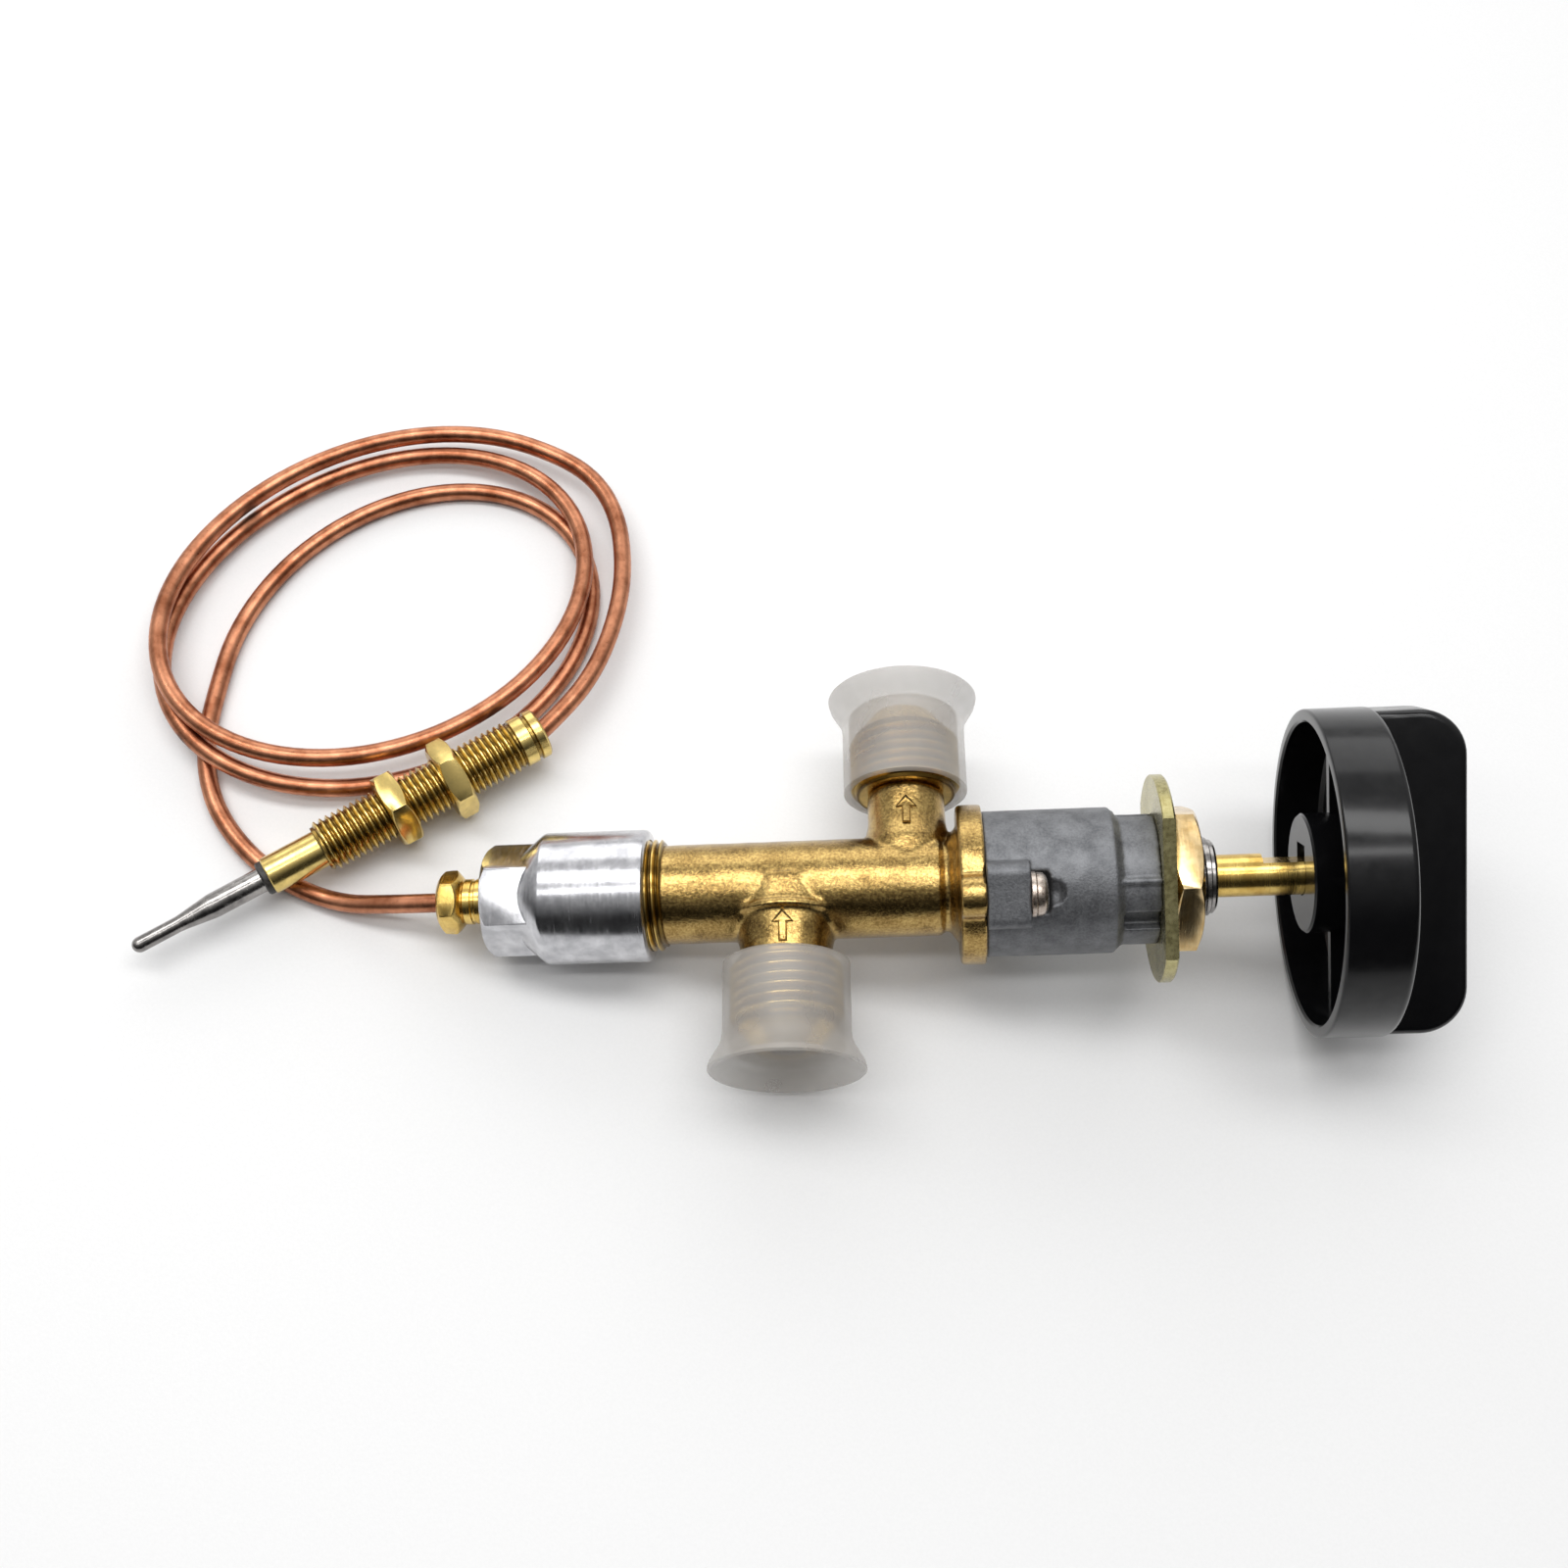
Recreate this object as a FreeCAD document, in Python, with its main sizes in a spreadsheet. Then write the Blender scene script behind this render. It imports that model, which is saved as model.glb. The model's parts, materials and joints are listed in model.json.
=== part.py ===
import FreeCAD, Part
import math
import os
import Sketcher

# Flame-failure gas valve with control knob and thermocouple lead, in millimetres.
# +X runs along the spindle to the knob, +Y towards the outlet port, +Z up from the bench.
# The origin is on the spindle axis, in the face of the housing that meets a panel.

doc = FreeCAD.newDocument("gas_valve")
sheet = doc.addObject("Spreadsheet::Sheet", "Sizes")

DRIVING_SIZES = {
    # brass body
    "barrel_dia": 14.2,
    "rear_thread_dia": 16,
    "rear_thread_length": 12,
    "rear_thread_shown": 2.2,
    "chamber_dia": 11.5,
    "seat_hole_dia": 6.4,
    "seat_thick": 3,
    "flange_dia": 22.7,
    "flange_thick": 3.6,
    "ear_dia": 6,
    "outlet_setback": 6.9,
    "port_spacing": 17.6,
    "cap_nut_setback": 19.3,
    # ports
    "port_thread_dia": 15.88,
    "port_thread_length": 9.4,
    "port_cone_length": 3.4,
    "port_cone_dia": 9,
    "port_bore_dia": 5,
    "inlet_neck_dia": 13,
    "inlet_neck_reach": 10.8,
    "outlet_neck_dia": 11.2,
    "outlet_neck_reach": 14.2,
    # tapered plug
    "plug_large_dia": 10.6,
    "plug_small_dia": 8,
    "plug_length": 20.2,
    "plug_film": 0.03,
    "plug_gas_dia": 4.4,
    "plug_rod_bore_dia": 2.3,
    "plug_port_dia": 4.4,
    "plug_low_port_dia": 0.9,
    "slot_width": 2.6,
    "slot_depth": 3.2,
    # front housing
    "housing_dia": 20.6,
    "housing_length": 18.7,
    "housing_cavity_dia": 14.4,
    "housing_chamfer": 1,
    "neck_dia": 18.4,
    "neck_length": 5.1,
    "front_wall": 7,
    "bush_dia": 12.1,
    "bush_thread_length": 7.2,
    "bush_nose_dia": 10.4,
    "bush_nose_length": 1.1,
    "gasket_thick": 0.5,
    "gasket_width": 1,
    "lug_width": 9,
    "lug_height": 13.2,
    "lug_length": 5.9,
    "lug_angle": 30,
    "screw_circle_dia": 22,
    "screw_dia": 3,
    "screw_head_dia": 6,
    "screw_head_thick": 1.7,
    "screw_washer_thick": 0.7,
    "head_channel_dia": 6.5,
    "head_channel_length": 5,
    # spindle
    "spindle_dia": 6,
    "spindle_reach": 38,
    "spindle_clearance": 0.05,
    "flat_start": 15,
    "flat_depth": 1,
    "collar_dia": 11,
    "collar_thick": 2.2,
    "tongue_thick": 2.3,
    "tongue_width": 6.4,
    "push_travel": 4,
    "ring_section": 1.5,
    "ring_place": 3.5,
    "stop_pin_dia": 1.6,
    "stop_pin_depth": 1.4,
    "stop_pin_reach": 6.9,
    "spring_dia": 10,
    "spring_wire": 0.9,
    "spring_turns": 4,
    "push_rod_dia": 2,
    # panel fittings
    "panel_washer_dia": 29.3,
    "panel_washer_thick": 1.8,
    "panel_washer_flats": 22,
    "panel_nut_flats": 19,
    "panel_nut_thick": 4,
    "fit_gap": 0.05,
    # small steps and margins
    "plug_end_gap": 0.6,
    "bore_start": 2,
    "lug_base_gap": 0.4,
    "slot_half": 1.3,
    "neck_slot_depth": 1.2,
    "turn_stop_gap": 0.3,
    "turn_stop_past": 0.5,
    "sunk": 0.2,
    "shank_setback": 0.3,
    "cross_half": 0.4,
    "cross_reach": 1.6,
    "cross_depth": 0.8,
    "washer_over": 0.1,
    "gas_way_past": 0.6,
    "ring_groove_depth": 0.9,
    "tongue_end_gap": 0.3,
    "tongue_side_gap": 0.3,
    "tongue_step": 0.4,
    "rod_socket_past": 2,
    "rod_seat_gap": 0.8,
    "spring_gap": 0.1,
    "ring_film": 0.02,
    "knob_edge": 0.8,
    "grip_setback": 0.3,
    "knob_bore_gap": 0.05,
    "knob_bore_past": 0.2,
    "key_half": 2.4,
    "key_start": 0.6,
    "key_past": 0.4,
    "clip_start": 2,
    "hex_overcut": 1,
    "cone_over": 0.05,
    "tail_past": 0.5,
    "socket_wall": 1.6,
    "stem_gap": 0.2,
    "core_gap": 0.1,
    "winding_gap": 0.02,
    "terminal_collar": 0.6,
    "insulator_wall": 0.3,
    "stem_past": 0.7,
    "cup_setback": 0.6,
    "lead_thread_length": 4.2,
    "lead_thread_chamfer": 0.6,
    "ferrule_gap": 0.1,
    "ferrule_step": 0.8,
    "ferrule_taper": 0.2,
    "sleeve_chamfer": 0.6,
    "nut_film": 0.02,
    "soft_cap_start": 0.2,
    "soft_cap_gap": 0.15,
    "bell_flare": 0.5,
    "bell_lip": 0.9,
    "bell_slope": 0.3,
    # knob
    "knob_rim": 21.4,
    "knob_dia": 46,
    "knob_skirt_length": 9.2,
    "knob_wall": 1.8,
    "knob_top_thick": 2.2,
    "knob_bar_height": 11.8,
    "knob_bar_thick": 8,
    "knob_bar_corner": 6.5,
    "knob_bar_angle": 32,
    "knob_hub_dia": 16.8,
    "knob_hub_lead": 0.8,
    "knob_rib_thick": 1.4,
    "knob_rib_setback": 3,
    "clip_thick": 0.35,
    "clip_length": 9,
    "clip_width": 3.2,
    # rear cap nut and magnet unit
    "cap_nut_wall": 1.45,
    "cap_nut_length": 15.1,
    "cap_cone_length": 3.1,
    "cap_hex_flats": 14,
    "cap_hex_length": 5.6,
    "cap_edge": 0.8,
    "magnet_dia": 11.2,
    "magnet_wall": 0.7,
    "magnet_front": 59,
    "magnet_flange_dia": 14.4,
    "magnet_flange_thick": 1.2,
    "magnet_base_thick": 3,
    "magnet_seal_thick": 0.5,
    "magnet_tail_dia": 9.6,
    "lead_thread_dia": 8,
    "lead_thread_depth": 10,
    "core_leg_width": 2,
    "core_leg_depth": 4,
    "core_leg_place": 2.3,
    "core_yoke_thick": 2.4,
    "core_length": 11.5,
    "winding_wall": 0.55,
    "winding_length": 6,
    "armature_gap": 4.1,
    "armature_dia": 7.4,
    "armature_thick": 1.2,
    "stem_dia": 1.6,
    "disc_dia": 9.2,
    "disc_thick": 2,
    "cup_wall": 0.4,
    "safety_spring_dia": 8,
    "safety_spring_wire": 0.5,
    "safety_spring_turns": 4,
    "terminal_dia": 1.8,
    "terminal_head_dia": 4,
    "terminal_head_thick": 0.9,
    "insulator_dia": 3.2,
    # lead
    "lead_dia": 2.8,
    "lead_nut_neck_dia": 6.6,
    "lead_nut_neck_length": 3.9,
    "lead_nut_flats": 8,
    "lead_nut_hex_length": 3.1,
    "ferrule_dia": 4.8,
    "coil_long_dia": 78.8,
    "coil_short_dia": 60.8,
    "coil_inner_long_dia": 55,
    "coil_inner_short_dia": 37,
    "coil_layers": 2.5,
    # hot end
    "sleeve_thread_dia": 8,
    "sleeve_thread_length": 37.3,
    "sleeve_collar_dia": 5.7,
    "sleeve_collar_length": 8.2,
    "insulator_ring_dia": 5.2,
    "insulator_ring_length": 1,
    "probe_dia": 3.7,
    "probe_length": 8,
    "probe_taper": 5,
    "probe_tip_dia": 2.3,
    "probe_tip_length": 7.2,
    "sleeve_nut_flats": 11,
    "sleeve_nut_thick": 3.3,
    "sleeve_nut_rear_place": 13.6,
    "sleeve_nut_front_place": 22.9,
    # port caps
    "cap_length": 15.6,
    "cap_wall": 0.95,
    "cap_gap": 0.1,
    "cap_bell_dia": 22,
    "cap_bell_length": 5.6,
    "cap_septum": 0.9,
}


class Size:
    """A number and the sheet formula that gives it."""

    def __init__(self, number, formula):
        self.number = float(number)
        self.formula = formula

    def __add__(self, other):
        return joined(self, "+", other)

    def __radd__(self, other):
        return joined(other, "+", self)

    def __sub__(self, other):
        return joined(self, "-", other)

    def __rsub__(self, other):
        return joined(other, "-", self)

    def __mul__(self, other):
        return joined(self, "*", other)

    def __rmul__(self, other):
        return joined(other, "*", self)

    def __truediv__(self, other):
        return joined(self, "/", other)

    def __neg__(self):
        return joined(0, "-", self)


WORKINGS = {
    "+": lambda a, b: a + b,
    "-": lambda a, b: a - b,
    "*": lambda a, b: a * b,
    "/": lambda a, b: a / b,
}


def as_size(value):
    if isinstance(value, Size):
        return value
    return Size(value, repr(float(value)))


def joined(left, sign, right):
    left = as_size(left)
    right = as_size(right)
    number = WORKINGS[sign](left.number, right.number)
    return Size(number, f"({left.formula} {sign} {right.formula})")


class Driving:
    """The driving sizes by name, as cells of the sheet."""

    def __init__(self, numbers):
        for row, (alias, number) in enumerate(numbers.items(), start=1):
            sheet.set(f"A{row}", alias)
            sheet.set(f"B{row}", str(number))
            sheet.setAlias(f"B{row}", alias)
            setattr(self, alias, Size(number, f"Sizes.{alias}"))


size = Driving(DRIVING_SIZES)
doc.recompute()


def bind(thing, path, value):
    """Tie one property of a document object to the sheet."""
    if isinstance(value, Size):
        thing.setExpression(path, value.formula)


def new_body(name):
    body = doc.addObject("PartDesign::Body", name)
    body.Label = name
    return body


def sketch_on(body, plane, name, shift=(0, 0, 0), turn=0, about=(0, 0, 1)):
    """A sketch on one of the body's own origin planes, shifted and turned in that plane's axes."""
    sketch = body.newObject("Sketcher::SketchObject", name + "_sketch")
    support = [item for item in body.Origin.OriginFeatures if item.Role == plane][0]
    sketch.AttachmentSupport = [(support, "")]
    sketch.MapMode = "FlatFace"
    base = FreeCAD.Vector(*[as_size(value).number for value in shift])
    rotation = FreeCAD.Rotation(FreeCAD.Vector(*about), as_size(turn).number)
    sketch.AttachmentOffset = FreeCAD.Placement(base, rotation)
    for axis, value in zip("xyz", shift):
        bind(sketch, f"AttachmentOffset.Base.{axis}", value)
    bind(sketch, "AttachmentOffset.Rotation.Angle", turn)
    return sketch


def draw_outline(sketch, corners):
    """A closed outline of straight sides, every corner tied to the sheet."""
    first = sketch.GeometryCount
    count = len(corners)
    points = [FreeCAD.Vector(as_size(a).number, as_size(b).number, 0) for a, b in corners]
    sides = [Part.LineSegment(points[i], points[(i + 1) % count]) for i in range(count)]
    sketch.addGeometry(sides)
    joints = []
    for i in range(count):
        joints.append(Sketcher.Constraint("Coincident", first + i, 2, first + (i + 1) % count, 1))
    sketch.addConstraint(joints)
    for i, corner in enumerate(corners):
        for kind, value in zip(("DistanceX", "DistanceY"), corner):
            rule = Sketcher.Constraint(kind, -1, 1, first + i, 1, as_size(value).number)
            place = sketch.addConstraint(rule)
            bind(sketch, f"Constraints[{place}]", value)


def draw_circle(sketch, centre, radius):
    index = sketch.GeometryCount
    middle = FreeCAD.Vector(as_size(centre[0]).number, as_size(centre[1]).number, 0)
    sketch.addGeometry(Part.Circle(middle, FreeCAD.Vector(0, 0, 1), as_size(radius).number))
    for kind, value in zip(("DistanceX", "DistanceY"), centre):
        place = sketch.addConstraint(Sketcher.Constraint(kind, -1, 1, index, 3, as_size(value).number))
        bind(sketch, f"Constraints[{place}]", value)
    place = sketch.addConstraint(Sketcher.Constraint("Radius", index, as_size(radius).number))
    bind(sketch, f"Constraints[{place}]", radius)


def turned(body, name, corners, cut=False):
    """Turn an outline of (place along X, radius) corners about the X axis."""
    sketch = sketch_on(body, "XY_Plane", name)
    draw_outline(sketch, corners)
    feature = body.newObject("PartDesign::Groove" if cut else "PartDesign::Revolution", name)
    feature.Profile = sketch
    feature.ReferenceAxis = (sketch, ["H_Axis"])
    feature.Angle = 360
    return feature


def turned_port(body, name, place, corners, cut=False):
    """Turn an outline of (radius, place along Y) corners about a line along Y at X = place."""
    sketch = sketch_on(body, "XY_Plane", name, shift=(place, 0, 0))
    draw_outline(sketch, corners)
    feature = body.newObject("PartDesign::Groove" if cut else "PartDesign::Revolution", name)
    feature.Profile = sketch
    feature.ReferenceAxis = (sketch, ["V_Axis"])
    feature.Angle = 360
    return feature


def prism(body, name, start, length, outlines=(), circles=(), turn=0, cut=False):
    """Outlines of (Y, Z) corners and circles, carried along X from start over length."""
    sketch = sketch_on(body, "YZ_Plane", name, shift=(0, 0, start), turn=turn)
    for corners in outlines:
        draw_outline(sketch, corners)
    for centre, radius in circles:
        draw_circle(sketch, centre, radius)
    feature = body.newObject("PartDesign::Pocket" if cut else "PartDesign::Pad", name)
    feature.Profile = sketch
    feature.Length = as_size(length).number
    bind(feature, "Length", length)
    feature.Reversed = cut
    return feature


def rectangle(low_u, high_u, low_v, high_v):
    return [(low_u, low_v), (high_u, low_v), (high_u, high_v), (low_u, high_v)]


def hexagon(across_flats, turn=0):
    """Corners of a hexagon about the axis, with a flat facing +Z when turn is 0."""
    corners = []
    for index in range(6):
        angle = math.radians(60 * index + turn)
        reach = across_flats / math.sqrt(3)
        corners.append((reach * math.cos(angle), reach * math.sin(angle)))
    return corners


def spring(body, name, start, length, mean_radius, wire, turns):
    """A round-wire spring about the X axis, from start over length."""
    sketch = sketch_on(body, "XY_Plane", name)
    draw_circle(sketch, (start, mean_radius), wire / 2)
    feature = body.newObject("PartDesign::AdditiveHelix", name)
    feature.Profile = sketch
    feature.ReferenceAxis = (sketch, ["H_Axis"])
    feature.Mode = "height-turns-angle"
    feature.Height = as_size(length).number
    bind(feature, "Height", length)
    feature.Turns = as_size(turns).number
    bind(feature, "Turns", turns)
    return feature


# Stations along the spindle axis, from the panel face backwards.
joint_x = -(size.neck_length + size.housing_length)
flange_back = joint_x - size.flange_thick
outlet_x = flange_back - size.outlet_setback
inlet_x = outlet_x - size.port_spacing
cap_front = inlet_x - size.cap_nut_setback
cap_shoulder = cap_front - size.cap_nut_length
cap_hex_start = cap_shoulder - size.cap_cone_length
cap_end = cap_hex_start - size.cap_hex_length
body_end = cap_front + size.rear_thread_shown - size.rear_thread_length
plug_seat_end = joint_x - size.plug_length
seat_x = plug_seat_end - size.seat_thick
wall_x = -size.front_wall
bush_end = size.bush_thread_length + size.bush_nose_length
lead_exit = cap_end - size.lead_nut_neck_length - size.lead_nut_hex_length

# Angles about the axis, in degrees.
NECK_SLOT_ANGLES = (-62, 62, 118, -118)
STOP_HALF_ANGLE = 80
CAP_HEX_TURN = 17
LEAD_NUT_TURN = 18
REAR_NUT_TURN = 8
FRONT_NUT_TURN = 41

# Radii and gaps that several pieces share.
cap_nut_dia = size.rear_thread_dia + 2 * size.fit_gap + 2 * size.cap_nut_wall
thread_r = size.port_thread_dia / 2
taper = (size.plug_large_dia - size.plug_small_dia) / size.plug_length / 2
spindle_r = size.spindle_dia / 2
spindle_bore_r = spindle_r + size.spindle_clearance
collar_front = wall_x - size.fit_gap
collar_back = collar_front - size.collar_thick
pin_x = collar_back + size.collar_thick / 2
pin_foot = size.stop_pin_depth - size.collar_dia / 2
plug_front = joint_x - size.plug_end_gap
plug_back = plug_seat_end + size.plug_end_gap
slot_floor = plug_front - size.slot_depth
screw_r = size.screw_circle_dia / 2
lug_front = joint_x + size.lug_length
knob_shoulder = size.knob_rim + size.knob_skirt_length
knob_front = knob_shoulder + size.knob_bar_height
knob_plate_back = knob_shoulder - size.knob_top_thick
hub_back = size.knob_rim - size.knob_hub_lead


def build_valve_body():
    """Brass forging: barrel, flange with two screw ears, rear thread and two flare ports."""
    body = new_body("valve_body")
    barrel_r = size.barrel_dia / 2
    rear_r = size.rear_thread_dia / 2
    thread_start = cap_front + size.rear_thread_shown
    flange_r = size.flange_dia / 2
    turned(body, "barrel", [
        (body_end, 0), (body_end, rear_r), (thread_start, rear_r), (thread_start, barrel_r),
        (flange_back, barrel_r), (flange_back, flange_r), (joint_x, flange_r), (joint_x, 0)])
    ears = [((0, side * screw_r), size.ear_dia / 2) for side in (1, -1)]
    for index, ear in enumerate(ears):
        prism(body, f"ear_{index}", flange_back, size.flange_thick, circles=[ear], turn=size.lug_angle)
    ports = (("inlet", inlet_x, -1, size.inlet_neck_dia, size.inlet_neck_reach),
             ("outlet", outlet_x, 1, size.outlet_neck_dia, size.outlet_neck_reach))
    for name, place, side, neck_dia, reach in ports:
        thread_end = reach + size.port_thread_length
        cone_end = thread_end + size.port_cone_length
        turned_port(body, name + "_port", place, [
            (0, 0), (neck_dia / 2, 0), (neck_dia / 2, side * reach), (thread_r, side * reach),
            (thread_r, side * thread_end), (size.port_cone_dia / 2, side * cone_end),
            (0, side * cone_end)])
    chamber_r = size.chamber_dia / 2
    hole_r = size.seat_hole_dia / 2
    turned(body, "bore", [
        (body_end, 0), (body_end, chamber_r), (seat_x, chamber_r), (seat_x, hole_r),
        (plug_seat_end, hole_r), (plug_seat_end, size.plug_small_dia / 2),
        (joint_x, size.plug_large_dia / 2), (joint_x, 0)], cut=True)
    for name, place, side, neck_dia, reach in ports:
        mouth = side * (reach + size.port_thread_length + size.port_cone_length)
        turned_port(body, name + "_bore", place, [
            (0, side * size.bore_start), (size.port_bore_dia / 2, side * size.bore_start),
            (size.port_bore_dia / 2, mouth),
            (0, mouth)], cut=True)
    holes = [((0, side * screw_r), size.screw_dia / 2) for side in (1, -1)]
    prism(body, "screw_holes", flange_back, size.flange_thick, circles=holes, turn=size.lug_angle, cut=True)
    return body


def build_front_housing():
    """Zinc casting round the spindle: body, two screw lugs, slotted neck and threaded bush."""
    body = new_body("front_housing")
    outer_r = size.housing_dia / 2
    cavity_r = size.housing_cavity_dia / 2
    shoulder = -size.neck_length
    chamfer = size.housing_chamfer
    gasket_r = cavity_r + size.gasket_width
    gasket_x = joint_x + size.gasket_thick
    turned(body, "casting", [
        (gasket_x, cavity_r), (gasket_x, gasket_r), (joint_x, gasket_r), (joint_x, outer_r),
        (shoulder - chamfer, outer_r), (shoulder, outer_r - chamfer), (shoulder, size.neck_dia / 2),
        (0, size.neck_dia / 2), (0, size.bush_dia / 2), (size.bush_thread_length, size.bush_dia / 2),
        (size.bush_thread_length, size.bush_nose_dia / 2), (bush_end, size.bush_nose_dia / 2),
        (bush_end, spindle_bore_r), (wall_x, spindle_bore_r), (wall_x, cavity_r)])
    half = size.lug_width / 2
    base = gasket_r + size.lug_base_gap
    for index, side in enumerate((1, -1)):
        lug = rectangle(-half, half, side * base, side * size.lug_height)
        prism(body, f"lug_{index}", joint_x, size.lug_length, outlines=[lug], turn=size.lug_angle)
    channels = [((0, side * screw_r), size.head_channel_dia / 2) for side in (1, -1)]
    prism(body, "head_channels", lug_front, size.head_channel_length, circles=channels,
          turn=size.lug_angle, cut=True)
    holes = [((0, side * screw_r), size.screw_dia / 2) for side in (1, -1)]
    prism(body, "screw_holes", joint_x, size.lug_length, circles=holes, turn=size.lug_angle, cut=True)
    neck_r = size.neck_dia / 2
    for index, angle in enumerate(NECK_SLOT_ANGLES):
        slot = rectangle(-size.slot_half, size.slot_half, neck_r - size.neck_slot_depth, outer_r)
        prism(body, f"neck_slot_{index}", shoulder, size.neck_length, outlines=[slot], turn=angle, cut=True)
    stop_length = size.collar_thick + size.push_travel + size.turn_stop_past
    inner_r = size.collar_dia / 2 + size.turn_stop_gap
    root_r = cavity_r + size.sunk
    angles = [math.radians(step) for step in range(-STOP_HALF_ANGLE, STOP_HALF_ANGLE + 1, 20)]
    stop = [(inner_r * math.sin(a), inner_r * math.cos(a)) for a in angles]
    stop += [(root_r * math.sin(a), root_r * math.cos(a)) for a in reversed(angles)]
    prism(body, "turn_stop", wall_x - stop_length, stop_length + size.sunk, outlines=[stop], turn=90)
    return body


def build_gasket():
    body = new_body("housing_gasket")
    inner = size.housing_cavity_dia / 2
    turned(body, "gasket", rectangle(joint_x, joint_x + size.gasket_thick, inner, inner + size.gasket_width))
    return body


def build_screws():
    """Two screws through the housing lugs into the flange ears, each with a washer."""
    bodies = []
    seat = lug_front + size.screw_washer_thick
    for name, side in (("upper", 1), ("lower", -1)):
        centre = (0, side * screw_r)
        screw = new_body(f"housing_screw_{name}")
        shank = flange_back + size.shank_setback
        prism(screw, f"shank_{name}", shank, seat - shank, circles=[(centre, size.screw_dia / 2)],
              turn=size.lug_angle)
        prism(screw, f"head_{name}", seat, size.screw_head_thick,
              circles=[(centre, size.screw_head_dia / 2)], turn=size.lug_angle)
        cross = rectangle(-size.cross_half, size.cross_half,
                          side * screw_r - size.cross_reach, side * screw_r + size.cross_reach)
        prism(screw, f"drive_{name}", seat + size.screw_head_thick - size.cross_depth,
              size.cross_depth, outlines=[cross],
              turn=size.lug_angle, cut=True)
        washer = new_body(f"screw_washer_{name}")
        rings = [(centre, size.screw_head_dia / 2 + size.washer_over), (centre, size.screw_dia / 2)]
        prism(washer, f"washer_{name}", lug_front, size.screw_washer_thick, circles=rings,
              turn=size.lug_angle)
        bodies += [screw, washer]
    return bodies


def build_plug():
    """Tapered plug: gas way from its back end, full-flow port and low-flow port, drive slot."""
    body = new_body("tapered_plug")
    end_step = size.plug_end_gap * taper
    small_r = size.plug_small_dia / 2 - size.plug_film + end_step
    large_r = size.plug_large_dia / 2 - size.plug_film - end_step
    turned(body, "taper", [
        (plug_back, 0), (plug_back, small_r), (plug_front, large_r), (plug_front, 0)])
    gas_r = size.plug_gas_dia / 2
    rod_r = size.plug_rod_bore_dia / 2
    gas_end = outlet_x + size.plug_port_dia / 2 + size.gas_way_past
    turned(body, "ways", [
        (plug_back, 0), (plug_back, gas_r), (gas_end, gas_r), (gas_end, rod_r),
        (plug_front, rod_r), (plug_front, 0)], cut=True)
    reach = size.plug_large_dia
    sketch = sketch_on(body, "XY_Plane", "full_port")
    draw_circle(sketch, (outlet_x, 0), size.plug_port_dia / 2)
    port = body.newObject("PartDesign::Pocket", "full_port")
    port.Profile = sketch
    port.Length = reach.number
    bind(port, "Length", reach)
    sketch = sketch_on(body, "XZ_Plane", "low_port")
    draw_circle(sketch, (outlet_x, 0), size.plug_low_port_dia / 2)
    port = body.newObject("PartDesign::Pocket", "low_port")
    port.Profile = sketch
    port.Length = reach.number
    bind(port, "Length", reach)
    port.Reversed = True
    half = size.slot_width / 2
    prism(body, "drive_slot", slot_floor, size.slot_depth,
          outlines=[rectangle(-half, half, -reach, reach)], turn=size.knob_bar_angle, cut=True)
    return body


def build_spindle():
    """Brass spindle: D-ended shaft, collar behind the front wall and tongue into the plug slot."""
    body = new_body("spindle")
    tail_r = size.tongue_width / 2
    groove_r = spindle_r - size.ring_groove_depth
    groove_half = size.ring_section / 2 + size.fit_gap
    tongue_end = slot_floor + size.push_travel + size.tongue_end_gap
    tongue_start = plug_front + size.tongue_step + size.push_travel
    turned(body, "shaft", [
        (tongue_start, 0), (tongue_start, tail_r), (collar_back, tail_r),
        (collar_back, size.collar_dia / 2), (collar_front, size.collar_dia / 2),
        (collar_front, spindle_r), (size.ring_place - groove_half, spindle_r),
        (size.ring_place - groove_half, groove_r), (size.ring_place + groove_half, groove_r),
        (size.ring_place + groove_half, spindle_r), (size.spindle_reach, spindle_r),
        (size.spindle_reach, 0)])
    half = size.tongue_thick / 2
    side = size.tongue_width / 2 - size.tongue_side_gap
    prism(body, "tongue", tongue_end, tongue_start - tongue_end,
          outlines=[rectangle(-half, half, -side, side)], turn=size.knob_bar_angle)
    flat = spindle_r - size.flat_depth
    prism(body, "flat", size.flat_start, size.spindle_reach - size.flat_start,
          outlines=[rectangle(flat, spindle_r + 1, -spindle_r - 1, spindle_r + 1)],
          turn=size.knob_bar_angle, cut=True)
    prism(body, "rod_socket", tongue_end, tongue_start - tongue_end + size.rod_socket_past,
          circles=[((0, 0), size.push_rod_dia / 2)], cut=True)
    sketch = sketch_on(body, "XY_Plane", "pin_hole", shift=(0, 0, pin_foot))
    draw_circle(sketch, (pin_x, 0), size.stop_pin_dia / 2)
    hole = body.newObject("PartDesign::Pocket", "pin_hole")
    hole.Profile = sketch
    hole.Length = size.collar_dia.number
    bind(hole, "Length", size.collar_dia)
    return body


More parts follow.
